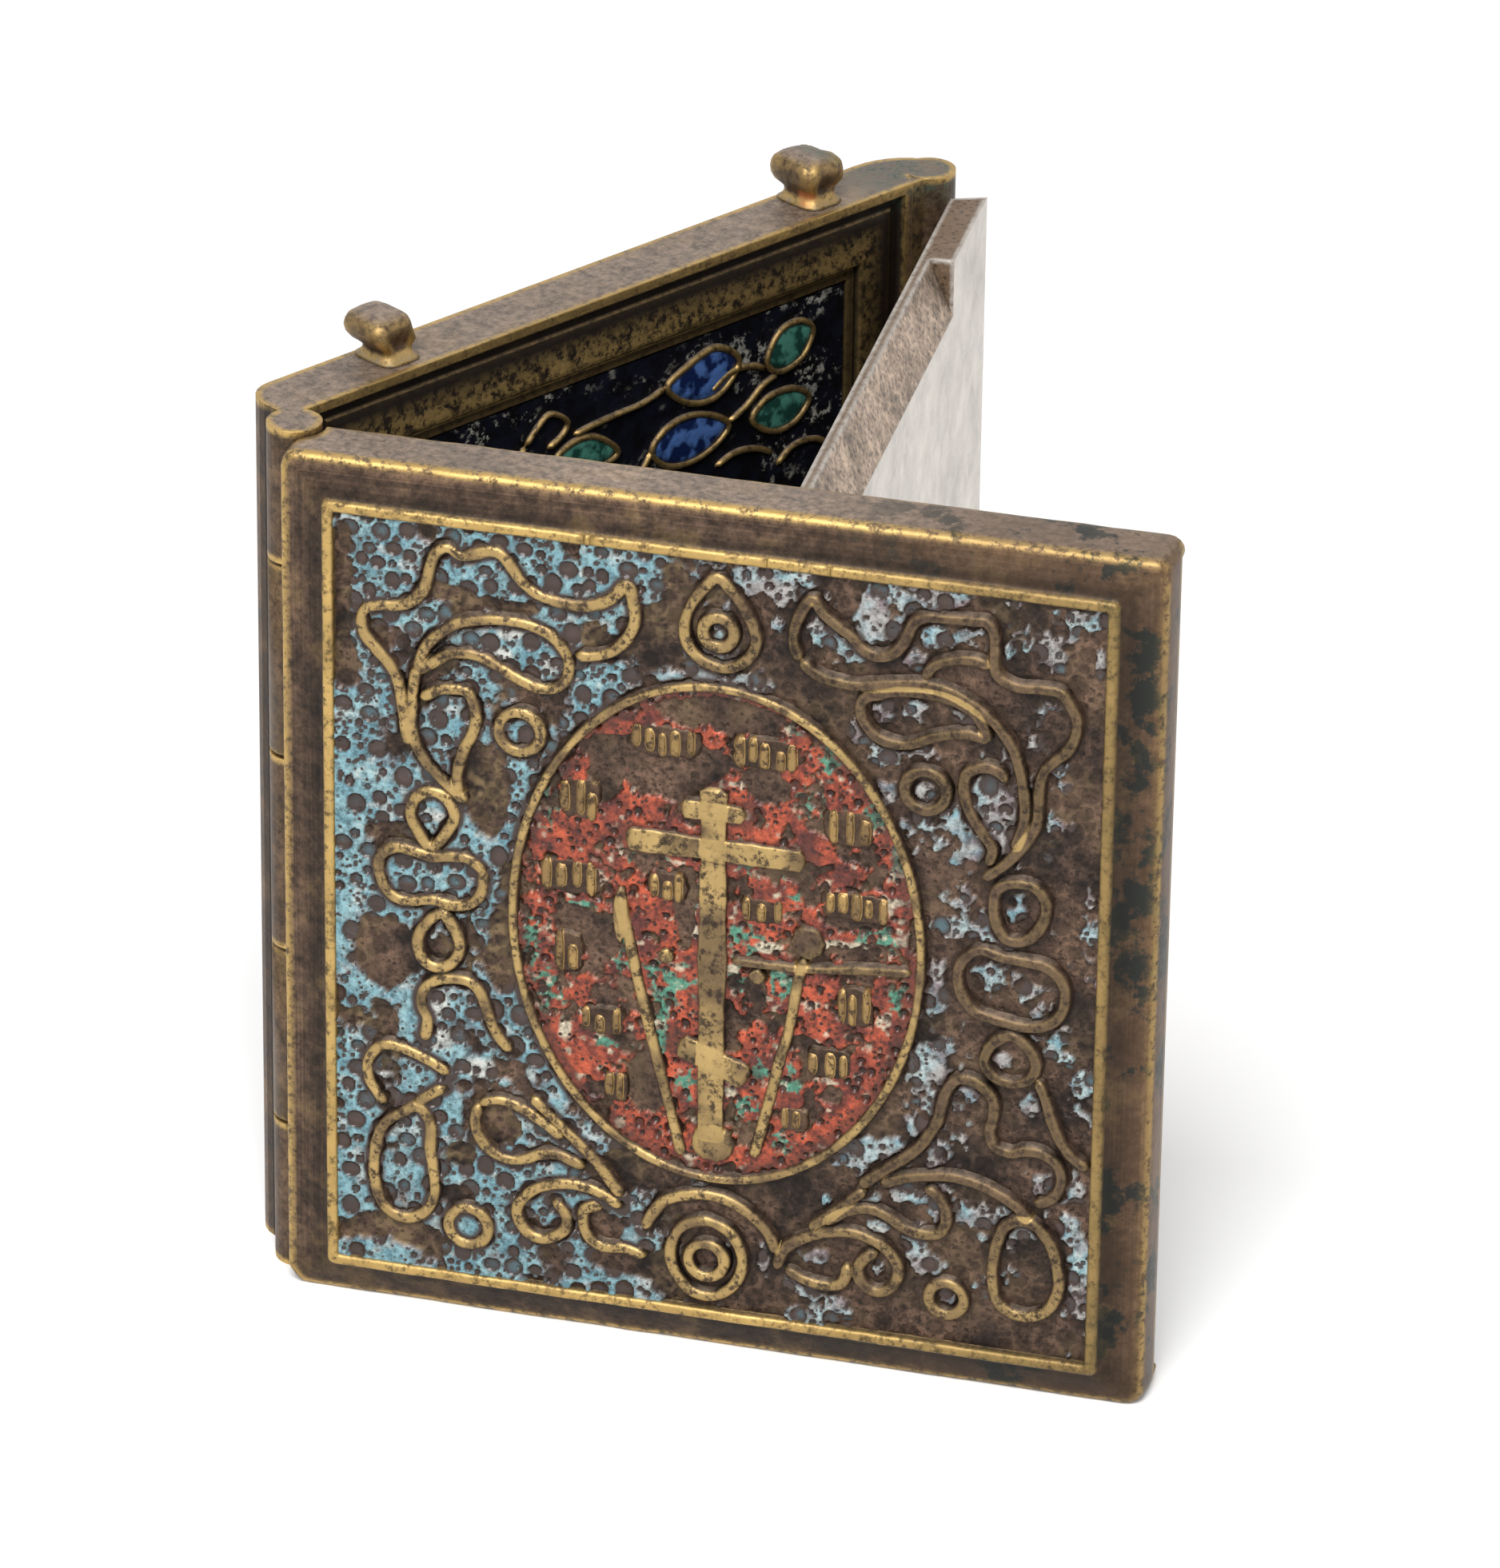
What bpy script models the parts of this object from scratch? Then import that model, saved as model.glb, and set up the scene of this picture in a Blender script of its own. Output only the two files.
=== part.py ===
"""Travel icon triptych: a cast brass folding icon of three leaves with champleve enamel.

The centre leaf stands on its bottom edge with its front facing -Y. The left leaf carries the relief
cover on its outside and the right leaf is a smaller plain leaf. Both swing on vertical hinge pins.
The rest pose has both side leaves part folded, as in the photo. Sizes are in millimetres and are
scaled to metres when a point is made.
"""

import math

import bmesh
import bpy
import numpy as np
from mathutils import Matrix

MM = 0.001

# Rest angles of the side leaves, measured from the shut position.
LEFT_REST_DEG = 58.95
RIGHT_REST_DEG = 33.755

# Centre leaf.
CENTRE_HEIGHT = 62.3
CENTRE_THICKNESS = 4.8
CENTRE_LEFT_END = 0.2
CENTRE_CORNER_RADIUS = 2.4
CENTRE_ROUND_START = 56.2
CENTRE_ROUND_LENGTH = 4.8
LIP_LEFT = 2.2
LIP_RIGHT = 57.2
CENTRE_SEAT_SETBACK = 1.1

# Hinges.
AXIS_SPAN = 59.8
LEFT_AXIS_FORWARD = 0.8
RIGHT_AXIS_BACK = 1.1
BARREL_RADIUS = 1.85
BARREL_CLEARANCE = 0.3
PIN_RADIUS = 0.7
PIN_CLEARANCE = 0.1
PIN_FOOT = 0.3
PIN_TOP = 61.1
BORE_TOP = 61.4
KNUCKLE_JOINTS = (10.97, 24.05, 38.5, 52.5)
KNUCKLE_GAP = 0.3
KNUCKLE_WEB_ROOT = 0.4
KNUCKLE_WEB_SETBACK = 0.06

# Left leaf, the cover. Lengths run from its hinge axis, depths outward from that axis.
LEFT_HEIGHT = 62.0
LEFT_START = 0.3
LEFT_END = 59.6
LEFT_INNER = -0.65
LEFT_EDGE = 3.85
FILLET_RISE = 1.2
FILLET_LEFT = 3.35
FILLET_RIGHT = 56.5
FILLET_TOP = 59.2
FILLET_BOTTOM = 2.45
FILLET_WIDTH = 0.72
FIELD_DEPTH = 0.6
TRAY_RIM = 0.95
TRAY_FLOOR = 2.3
FREE_RIM_SETBACK = 1.55

# Right leaf. Lengths run from its hinge axis, depths outward from that axis.
RIGHT_INNER = 1.8
RIGHT_THICKNESS = 2.4
RIGHT_START_INNER = 1.2
RIGHT_START_OUTER = 0.35
RIGHT_END = 50.8
RIGHT_BOTTOM = 1.3
RIGHT_TOP = 60.7
BEVEL_START = 11.6
BEVEL_TOP_STRIP = 0.7
BEVEL_DROP = 4.1
WEB_START = 0.2
WEB_END = 2.3
WEB_INNER = 0.9
WEB_OUTER = 2.6

# Enamel and the raised ribs that hold it.
RIB_WIDTH = 0.56
RIB_DROP = 0.05
ENAMEL_THICKNESS = 0.3
ENAMEL_GAP = 0.1
PANEL_EDGE_GAP = 0.15

# Medallion and cross on the cover.
MEDALLION_CENTRE = (30.15, 31.3)
MEDALLION_RADII = (13.85, 18.1)
MEDALLION_POINTS = 56
CROSS_POST = (29.05, 30.85, 16.0, 42.2)
CROSS_TOP_BAR = (27.7, 32.1, 39.8, 41.1)
CROSS_MAIN_BAR = (24.0, 36.1, 36.9, 38.5)
CROSS_FOOT_BAR = ((27.9, 22.9), (32.4, 21.2), 1.4)
CROSS_KNOB = (30.1, 15.9, 1.35)

# Catch lugs on the top of the centre leaf.
LUG_WIDTH = 3.2
LUG_DEPTH = 3.9
LUG_HEIGHT = 3.15
LUG_SETBACK = 2.8
LUG_GAP = 0.1
LEFT_LUG_MIDDLE = 11.3
RIGHT_LUG_MIDDLE = 50.0

# Closed cells of the cover: each is a loop of rib centres round its own pool of enamel.
RING_CELLS = {
    "upper_left_ring": (16.76, 44.3, 1.43),
    "lower_left_ring": (13.24, 6.84, 1.37),
    "upper_right_ring": (44.06, 44.0, 1.4),
    "lower_right_ring": (46.24, 6.64, 1.2),
}
LOOP_CELLS = {
    "upper_left_lobe": ((9.9, 48.0), (10.4, 49.6), (11.6, 50.9), (12.8, 51.7), (14.4, 52.1), (16.0, 52.26),
                        (17.6, 52.1), (19.0, 51.5), (19.9, 50.4), (20.1, 49.4), (19.8, 48.4), (19.0, 47.8),
                        (18.0, 47.7), (16.8, 48.1), (15.6, 48.7), (14.4, 49.3), (13.2, 49.5), (12.0, 49.3),
                        (11.0, 48.6)),
    "left_leaf_drop": ((10.7, 39.1), (9.7, 38.5), (9.3, 37.4), (9.6, 36.4), (10.75, 35.3), (12.1, 36.8),
                       (12.3, 37.8), (11.7, 38.8)),
    "left_kidney": ((7.1, 33.0), (7.4, 34.1), (8.4, 34.65), (9.6, 34.5), (10.8, 34.3), (12.0, 34.5),
                    (13.2, 34.5), (14.1, 33.9), (14.3, 33.0), (14.0, 31.8), (13.2, 31.1), (12.0, 30.9),
                    (10.8, 31.1), (9.4, 30.8), (8.4, 30.85), (7.5, 31.6)),
    "left_lower_drop": ((11.4, 30.0), (10.3, 29.2), (9.8, 28.2), (9.8, 27.3), (10.2, 26.5), (11.1, 26.1),
                        (12.0, 26.5), (12.6, 27.4), (12.6, 28.4), (12.2, 29.3)),
    "lower_left_oval": ((9.8, 15.4), (8.6, 14.8), (7.3, 13.6), (6.8, 12.0), (6.64, 10.4), (6.8, 8.8),
                        (7.3, 7.6), (8.2, 6.9), (9.4, 6.9), (10.4, 7.7), (10.9, 9.0), (10.8, 10.8),
                        (10.6, 12.4), (10.6, 14.2)),
    "top_drop": ((30.0, 57.3), (29.0, 56.3), (28.2, 55.0), (27.8, 53.6), (28.0, 52.4), (28.8, 51.4),
                 (30.1, 50.9), (31.2, 51.1), (32.1, 51.8), (32.6, 52.8), (32.5, 53.9), (31.9, 55.2),
                 (31.0, 56.4)),
    "bottom_flower": ((29.75, 9.9), (28.2, 9.3), (27.4, 8.0), (27.3, 6.6), (27.9, 5.2), (29.0, 4.3),
                      (30.4, 4.3), (31.6, 5.2), (32.2, 6.6), (32.1, 8.0), (31.3, 9.3)),
    "upper_right_lobe": ((40.9, 50.5), (39.9, 50.1), (39.6, 49.2), (40.0, 48.2), (40.8, 47.4), (42.0, 47.1),
                         (43.2, 47.3), (44.4, 47.9), (45.6, 48.3), (46.8, 48.5), (48.0, 48.4), (47.4, 49.8),
                         (46.4, 50.5), (45.2, 50.9), (43.8, 51.0), (42.2, 50.9)),
    "right_leaf_drop": ((48.8, 37.0), (49.2, 37.8), (50.2, 38.2), (51.4, 38.1), (52.2, 37.2), (52.2, 36.0),
                        (51.6, 34.7), (50.6, 34.0), (49.6, 34.1), (48.9, 35.3)),
    "right_kidney": ((46.5, 31.2), (47.0, 32.3), (48.0, 33.0), (49.4, 32.7), (50.8, 32.6), (52.4, 32.4),
                     (53.5, 31.4), (53.7, 30.0), (53.2, 28.7), (52.2, 28.0), (51.0, 27.8), (50.0, 27.9),
                     (48.8, 28.1), (47.6, 28.5), (46.7, 29.7)),
    "right_lower_drop": ((50.2, 27.0), (51.4, 26.2), (51.9, 25.0), (51.4, 23.9), (50.2, 23.5), (49.0, 23.9),
                         (48.4, 24.9), (48.9, 26.2)),
    "lower_right_oval": ((50.0, 12.6), (49.6, 11.4), (49.4, 10.4), (49.3, 9.0), (49.5, 7.6), (50.0, 6.7),
                         (51.0, 6.2), (52.2, 6.3), (53.2, 7.0), (53.8, 8.4), (53.8, 9.6), (53.5, 11.0),
                         (53.0, 12.2), (52.0, 13.2), (50.9, 13.3)),
}

# Open ribs of the cover: leaf edges, stems and curls.
RIB_PATHS = (
    ((9.0, 43.2), (8.8, 45.0), (8.5, 46.8), (7.9, 48.0), (7.0, 49.0), (6.2, 50.0), (6.0, 51.0), (6.3, 51.8),
     (7.2, 52.15), (8.6, 52.35), (9.6, 52.9), (10.3, 53.8), (10.6, 55.0), (10.9, 56.1), (11.4, 56.75),
     (12.0, 56.9), (12.7, 56.5), (13.6, 56.7), (14.8, 57.1), (15.6, 56.85), (16.3, 56.0), (16.9, 55.2),
     (17.8, 54.5), (19.0, 54.15), (20.4, 54.0), (21.8, 54.2), (23.0, 54.9), (23.9, 56.0)),
    ((24.25, 55.4), (24.5, 53.8), (24.3, 52.7), (23.7, 51.7), (22.8, 50.9), (21.6, 50.5), (21.0, 50.4)),
    ((9.5, 46.2), (9.44, 45.0), (9.44, 43.6), (9.7, 42.4), (10.4, 41.2), (11.4, 40.2)),
    ((10.6, 46.2), (11.4, 46.65), (12.4, 46.8), (13.2, 46.7), (13.6, 46.0), (13.8, 44.8), (13.5, 43.6),
     (13.0, 42.6), (12.6, 41.2)),
    ((10.2, 20.5), (10.4, 21.6), (10.4, 22.3), (10.1, 22.9), (10.0, 23.7), (10.3, 24.5), (11.0, 25.1),
     (12.0, 25.4), (13.2, 25.4), (14.0, 24.8), (14.4, 23.8), (14.8, 22.6), (15.4, 21.5), (16.2, 20.6)),
    ((11.9, 18.2), (11.0, 18.8), (9.6, 19.4), (8.0, 19.8), (7.0, 19.5), (6.3, 18.4), (6.3, 17.2), (6.8, 16.2)),
    ((14.0, 16.0), (13.7, 15.0), (14.0, 13.8), (14.8, 12.9), (16.0, 12.4), (17.2, 12.6), (18.2, 13.1),
     (19.4, 13.3), (20.4, 13.0)),
    ((17.6, 17.4), (18.6, 16.5), (20.0, 15.2), (22.0, 13.3), (23.9, 10.9)),
    ((22.9, 10.6), (22.0, 11.0), (20.8, 11.2), (19.6, 11.1), (18.4, 10.7), (17.4, 10.0), (16.7, 9.0),
     (16.7, 8.0), (17.3, 7.1), (18.2, 6.7), (19.2, 7.0), (20.0, 7.7), (20.1, 8.6), (19.6, 9.4)),
    ((21.5, 9.5), (21.3, 8.5), (21.6, 7.4), (22.6, 6.8), (24.2, 6.9)),
    ((26.0, 9.8), (26.8, 10.9), (28.2, 11.6), (29.8, 11.9), (31.4, 11.6), (32.8, 10.8), (34.0, 9.6)),
    ((35.2, 52.8), (35.1, 54.0), (35.4, 55.2), (35.9, 56.2), (36.4, 56.7), (37.0, 55.8), (38.0, 55.0),
     (39.0, 54.3), (39.8, 53.5), (40.8, 53.2), (41.8, 53.6), (42.5, 54.6), (43.0, 55.8), (43.8, 56.4),
     (45.2, 56.5), (47.0, 56.6), (47.8, 56.6), (48.3, 56.0), (48.4, 54.8), (48.4, 53.6), (48.8, 52.8),
     (50.0, 52.3), (51.6, 52.4), (52.8, 52.3), (53.4, 51.6), (53.9, 50.6), (53.9, 49.6), (53.5, 48.4),
     (52.6, 47.4), (51.9, 46.6), (51.6, 45.4), (51.56, 44.0), (51.5, 42.8), (51.0, 41.6)),
    ((36.2, 51.9), (37.4, 51.4), (38.6, 51.3)),
    ((49.4, 46.9), (50.0, 46.0), (50.3, 44.8), (50.3, 43.2), (50.0, 41.8)),
    ((49.0, 45.9), (48.0, 46.3), (46.9, 45.8), (46.6, 45.0), (46.7, 43.8), (47.2, 42.6), (48.0, 41.4),
     (48.6, 40.4)),
    ((40.2, 14.2), (42.0, 15.8), (43.2, 16.8), (44.2, 17.8), (44.8, 18.8), (45.4, 20.0), (45.6, 21.0),
     (45.9, 22.2), (46.6, 23.2), (47.6, 23.3), (48.5, 22.8), (49.1, 22.0), (49.1, 20.8), (48.9, 19.6)),
    ((50.4, 18.3), (51.2, 18.6), (52.4, 18.6), (53.4, 18.0), (53.8, 17.0), (53.6, 15.9), (52.9, 15.1)),
    ((42.0, 14.7), (43.2, 15.2), (44.8, 15.6), (46.4, 15.8), (48.0, 15.6), (49.2, 15.0)),
    ((36.8, 10.4), (38.6, 12.1), (40.2, 13.6)),
    ((39.4, 12.2), (40.8, 12.6), (42.0, 12.3), (43.2, 11.6), (44.4, 11.3), (45.6, 11.5), (46.1, 12.4),
     (46.0, 13.4)),
    ((38.4, 10.4), (39.4, 10.6), (40.8, 10.4), (42.0, 9.8), (42.8, 8.8), (42.9, 7.8), (42.4, 6.8), (41.4, 6.4),
     (40.4, 7.0), (40.2, 8.0), (40.7, 8.9)),
    ((35.0, 8.4), (35.4, 7.0), (36.6, 6.5), (38.0, 6.3), (38.9, 6.7)),
)
LANCE_PATH = ((23.6, 33.4), (24.2, 30.6), (25.0, 26.8), (26.0, 22.6), (26.8, 19.4), (27.4, 17.6))
REED_PATH = ((36.3, 31.4), (35.8, 29.0), (35.2, 25.2), (34.6, 22.8), (34.1, 20.4), (33.4, 17.8))

for old in list(bpy.data.objects):
    bpy.data.objects.remove(old, do_unlink=True)

parts = bpy.data.collections.new("travel_icon_triptych")
bpy.context.scene.collection.children.link(parts)
cutters = bpy.data.collections.new("cutters")
bpy.context.scene.collection.children.link(cutters)
cutters.hide_render = True
cover_ribs = bpy.data.collections.new("cover_ribs")
cutters.children.link(cover_ribs)
field_clearances = bpy.data.collections.new("field_clearances")
cutters.children.link(field_clearances)
medallion_clearances = bpy.data.collections.new("medallion_clearances")
cutters.children.link(medallion_clearances)


def material(name, colour, roughness, metallic):
    made = bpy.data.materials.new(name)
    made.use_nodes = True
    shader = made.node_tree.nodes["Principled BSDF"]
    shader.inputs["Base Color"].default_value = (*colour, 1.0)
    shader.inputs["Roughness"].default_value = roughness
    shader.inputs["Metallic"].default_value = metallic
    return made


brass = material("cast_brass", (0.36, 0.25, 0.12), 0.45, 1.0)
pale_brass = material("pale_brass", (0.5, 0.46, 0.4), 0.4, 1.0)
steel = material("hinge_wire", (0.3, 0.24, 0.16), 0.4, 1.0)
blue_glass = material("blue_enamel", (0.15, 0.42, 0.58), 0.3, 0.0)
red_glass = material("red_enamel", (0.5, 0.06, 0.04), 0.35, 0.0)
dark_glass = material("dark_enamel", (0.03, 0.06, 0.16), 0.3, 0.0)


def new_object(name, mesh, collection, look=None):
    made = bpy.data.objects.new(name, mesh)
    collection.objects.link(made)
    if look is not None:
        made.data.materials.append(look)
    if collection is not parts:
        made.hide_render = True
        made.display_type = "WIRE"
    return made


def mesh_of(name, shape):
    """Turn a bmesh with points in millimetres into a mesh with faces outward."""
    bmesh.ops.recalc_face_normals(shape, faces=shape.faces)
    bmesh.ops.scale(shape, vec=(MM, MM, MM), verts=shape.verts)
    mesh = bpy.data.meshes.new(name)
    shape.to_mesh(mesh)
    shape.free()
    return mesh


def box(name, low, high, collection):
    shape = bmesh.new()
    bmesh.ops.create_cube(shape, size=1.0)
    size = [b - a for a, b in zip(low, high)]
    middle = [(a + b) / 2 for a, b in zip(low, high)]
    bmesh.ops.scale(shape, vec=size, verts=shape.verts)
    bmesh.ops.translate(shape, vec=middle, verts=shape.verts)
    return new_object(name, mesh_of(name, shape), collection)


def cylinder(name, radius, x, y, bottom, top, collection, segments=32):
    shape = bmesh.new()
    bmesh.ops.create_cone(
        shape, cap_ends=True, segments=segments, radius1=radius, radius2=radius, depth=top - bottom
    )
    bmesh.ops.translate(shape, vec=(x, y, (top + bottom) / 2), verts=shape.verts)
    return new_object(name, mesh_of(name, shape), collection)


def loft(name, rings, collection, look=None):
    """Join rings of equal length into one closed body, with a cap on the first and the last."""
    shape = bmesh.new()
    rows = [[shape.verts.new(point) for point in ring] for ring in rings]
    shape.faces.new(rows[0])
    shape.faces.new(rows[-1])
    for near, far in zip(rows, rows[1:]):
        for i in range(len(near)):
            j = (i + 1) % len(near)
            shape.faces.new((near[i], near[j], far[j], far[i]))
    return new_object(name, mesh_of(name, shape), collection, look)


def upright_ring(x0, x1, z0, z1, y, radius=0.0, steps=1):
    """The corner points of an upright rectangle at depth y, with rounded corners if a radius is given."""
    if radius == 0.0:
        return [(x0, y, z0), (x1, y, z0), (x1, y, z1), (x0, y, z1)]
    points = []
    corners = ((x1 - radius, z0 + radius, -90), (x1 - radius, z1 - radius, 0),
               (x0 + radius, z1 - radius, 90), (x0 + radius, z0 + radius, 180))
    for x, z, start in corners:
        for k in range(steps + 1):
            angle = math.radians(start + 90 * k / steps)
            points.append((x + radius * math.cos(angle), y, z + radius * math.sin(angle)))
    return points


def flat_outline(name, loops, thickness, collection, look=None):
    """Fill flat loops of (x, y) and give them a thickness, centred on z = 0."""
    data = bpy.data.curves.new(name, "CURVE")
    data.dimensions = "2D"
    data.fill_mode = "BOTH"
    data.extrude = thickness / 2 * MM
    for loop in loops:
        spline = data.splines.new("POLY")
        spline.points.add(len(loop) - 1)
        for point, (x, y) in zip(spline.points, loop):
            point.co = (x * MM, y * MM, 0.0, 1.0)
        spline.use_cyclic_u = True
    curve = bpy.data.objects.new(name + "_curve", data)
    bpy.context.scene.collection.objects.link(curve)
    bpy.context.view_layer.update()
    mesh = bpy.data.meshes.new_from_object(curve.evaluated_get(bpy.context.evaluated_depsgraph_get()))
    bpy.data.objects.remove(curve, do_unlink=True)
    shape = bmesh.new()
    shape.from_mesh(mesh)
    bmesh.ops.remove_doubles(shape, verts=shape.verts, dist=0.001 * MM)
    bmesh.ops.recalc_face_normals(shape, faces=shape.faces)
    shape.to_mesh(mesh)
    shape.free()
    mesh.materials.clear()
    mesh.name = name
    return new_object(name, mesh, collection, look)


def stand_up(made, near, far):
    """Turn a flat piece upright, so that its flat y runs up and its thickness runs from y = near to y = far."""
    made.data.transform(Matrix.Translation((0.0, (near + far) / 2 * MM, 0.0)) @ Matrix.Rotation(math.pi / 2, 4, "X"))


def boolean(made, operation, other):
    modifier = made.modifiers.new(operation.lower(), "BOOLEAN")
    modifier.operation = operation
    modifier.solver = "EXACT"
    if isinstance(other, bpy.types.Collection):
        modifier.operand_type = "COLLECTION"
        modifier.collection = other
    else:
        modifier.object = other


def keep_largest_piece(made):
    """Replace a cut body by its evaluated mesh, leaving out loose crumbs."""
    bpy.context.view_layer.update()
    mesh = bpy.data.meshes.new_from_object(made.evaluated_get(bpy.context.evaluated_depsgraph_get()))
    made.modifiers.clear()
    shape = bmesh.new()
    shape.from_mesh(mesh)
    left = set(shape.verts)
    pieces = []
    while left:
        stack = [left.pop()]
        piece = []
        while stack:
            vert = stack.pop()
            piece.append(vert)
            for edge in vert.link_edges:
                other = edge.other_vert(vert)
                if other in left:
                    left.remove(other)
                    stack.append(other)
        pieces.append(piece)
    pieces.sort(key=len)
    for piece in pieces[:-1]:
        bmesh.ops.delete(shape, geom=piece, context="VERTS")
    shape.to_mesh(mesh)
    shape.free()
    made.data = mesh


def ribbon(path, width, closed):
    """The outline loops of a rib of this width along a path: two loops when closed, one when open."""
    points = np.array(path, float)
    if closed:
        ahead = np.roll(points, -1, axis=0) - np.roll(points, 1, axis=0)
    else:
        ahead = np.gradient(points, axis=0)
    ahead /= np.linalg.norm(ahead, axis=1)[:, None]
    side = np.stack([-ahead[:, 1], ahead[:, 0]], axis=1) * width / 2
    one = points + side
    two = points - side
    if closed:
        return [one.tolist(), two.tolist()]
    return [np.concatenate([one, two[::-1]]).tolist()]


def grown(path, distance):
    """A closed path moved outward by a distance, or inward when it is negative."""
    loops = ribbon(path, 2 * abs(distance), True)
    loops.sort(key=area)
    return loops[-1] if distance > 0 else loops[0]


def area(loop):
    points = np.array(loop)
    ahead = np.roll(points, -1, axis=0)
    return abs(np.sum(points[:, 0] * ahead[:, 1] - points[:, 1] * ahead[:, 0])) / 2


def oval(centre, radii, count):
    return [
        (centre[0] + radii[0] * math.cos(2 * math.pi * k / count), centre[1] + radii[1] * math.sin(2 * math.pi * k / count))
        for k in range(count)
    ]


def rectangle(x0, x1, z0, z1):
    return [(x0, z0), (x1, z0), (x1, z1), (x0, z1)]


# Heights of the knuckles: the centre leaf owns the first, third and fifth from the bottom.
half_gap = KNUCKLE_GAP / 2
centre_knuckles = (
    (0.0, KNUCKLE_JOINTS[0] - half_gap),
    (KNUCKLE_JOINTS[1] + half_gap, KNUCKLE_JOINTS[2] - half_gap),
    (KNUCKLE_JOINTS[3] + half_gap, CENTRE_HEIGHT),
)
leaf_knuckles = (
    (KNUCKLE_JOINTS[0] + half_gap, KNUCKLE_JOINTS[1] - half_gap),
    (KNUCKLE_JOINTS[2] + half_gap, KNUCKLE_JOINTS[3] - half_gap),
)
scoop_radius = BARREL_RADIUS + BARREL_CLEARANCE
bore_radius = PIN_RADIUS + PIN_CLEARANCE

# Positions in the part's frame: the origin is under the middle of the centre leaf.
middle_x = AXIS_SPAN / 2
middle_y = CENTRE_THICKNESS / 2
left_axis = (-middle_x, -LEFT_AXIS_FORWARD - middle_y)
right_axis = (AXIS_SPAN - middle_x, RIGHT_AXIS_BACK - middle_y)


def turned(made, axis, degrees):
    """Put a piece of a side leaf, and what cuts or joins it, on the hinge axis at its rest angle."""
    moved = [made]
    for modifier in made.modifiers:
        if modifier.operand_type == "COLLECTION":
            moved.extend(modifier.collection.objects)
        else:
            moved.append(modifier.object)
    for one in moved:
        one.location = (axis[0] * MM, axis[1] * MM, 0.0)
        one.rotation_euler = (0.0, 0.0, math.radians(degrees))


def place_left(made):
    turned(made, left_axis, -LEFT_REST_DEG)


def place_right(made):
    turned(made, right_axis, 180.0 + RIGHT_REST_DEG)


# Centre leaf: an upright plate with a rounded back, a moulded frame sunk in its front and three knuckles each side.
plan = [(CENTRE_LEFT_END, 0.0), (LIP_RIGHT, 0.0), (LIP_RIGHT + 0.5, CENTRE_SEAT_SETBACK)]
plan.append((CENTRE_ROUND_START + CENTRE_ROUND_LENGTH, CENTRE_SEAT_SETBACK))
for k in range(1, 9):
    angle = math.radians(90 * k / 8)
    rise = (CENTRE_THICKNESS - CENTRE_SEAT_SETBACK) * math.sin(angle)
    plan.append((CENTRE_ROUND_START + CENTRE_ROUND_LENGTH * math.cos(angle), CENTRE_SEAT_SETBACK + rise))
for k in range(7):
    angle = math.radians(90 + 90 * k / 6)
    plan.append((
        CENTRE_LEFT_END + CENTRE_CORNER_RADIUS * (1 + math.cos(angle)),
        CENTRE_THICKNESS - CENTRE_CORNER_RADIUS * (1 - math.sin(angle)),
    ))
plan = [(x - middle_x, y - middle_y) for x, y in plan]
centre_leaf = flat_outline("centre_leaf", [plan], CENTRE_HEIGHT, parts, brass)
centre_leaf.data.transform(Matrix.Translation((0.0, 0.0, CENTRE_HEIGHT / 2 * MM)))

# Inset from the lip and depth behind it, from the mouth of the frame to the floor of the panel.
FRAME_PROFILE = (
    (0.7, -1.0), (0.7, 0.1), (0.9, 0.6), (1.6, 0.6), (1.75, 0.45), (4.5, 0.12), (4.75, 0.12), (4.9, 0.7),
    (5.05, 0.7), (5.1, 0.5), (5.75, 0.5), (5.8, 1.3),
)


def frame_cutter(name, left, right, bottom, top, face, inward, profile):
    """The hollow of a moulded frame: face is its lip plane and inward is +1 or -1 along y."""
    rings = []
    for inset, depth in profile:
        rings.append(upright_ring(left + inset, right - inset, bottom + inset, top - inset, face + inward * depth))
    return loft(name, rings, cutters)


centre_hollow = frame_cutter(
    "centre_hollow", LIP_LEFT - middle_x, LIP_RIGHT - middle_x, 0.0, CENTRE_HEIGHT, -middle_y, 1, FRAME_PROFILE
)
boolean(centre_leaf, "DIFFERENCE", centre_hollow)
for low, high in leaf_knuckles:
    room = cylinder("left_knuckle_room", scoop_radius, *left_axis, low - KNUCKLE_GAP, high + KNUCKLE_GAP, cutters)
    boolean(centre_leaf, "DIFFERENCE", room)
    notch_start = (LIP_RIGHT + 0.1 - middle_x, -middle_y - 1.0, low - KNUCKLE_GAP)
    notch_end = (AXIS_SPAN + 4.0 - middle_x, middle_y + 1.0, high + KNUCKLE_GAP)
    boolean(centre_leaf, "DIFFERENCE", box("right_knuckle_notch", notch_start, notch_end, cutters))
for low, high in centre_knuckles:
    boolean(centre_leaf, "UNION", cylinder("left_knuckle", BARREL_RADIUS, *left_axis, low, high, cutters))
    boolean(centre_leaf, "UNION", cylinder("right_knuckle", BARREL_RADIUS, *right_axis, low, high, cutters))
    web_start = (LIP_RIGHT - KNUCKLE_WEB_ROOT - middle_x, KNUCKLE_WEB_SETBACK - middle_y,
                 low + KNUCKLE_WEB_SETBACK)
    web_end = (AXIS_SPAN - middle_x, RIGHT_AXIS_BACK - middle_y, high - KNUCKLE_WEB_SETBACK)
    boolean(centre_leaf, "UNION", box("right_knuckle_web", web_start, web_end, cutters))
for axis in (left_axis, right_axis):
    boolean(centre_leaf, "DIFFERENCE", cylinder("pin_bore", bore_radius, *axis, -1.0, BORE_TOP, cutters, 24))

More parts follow.
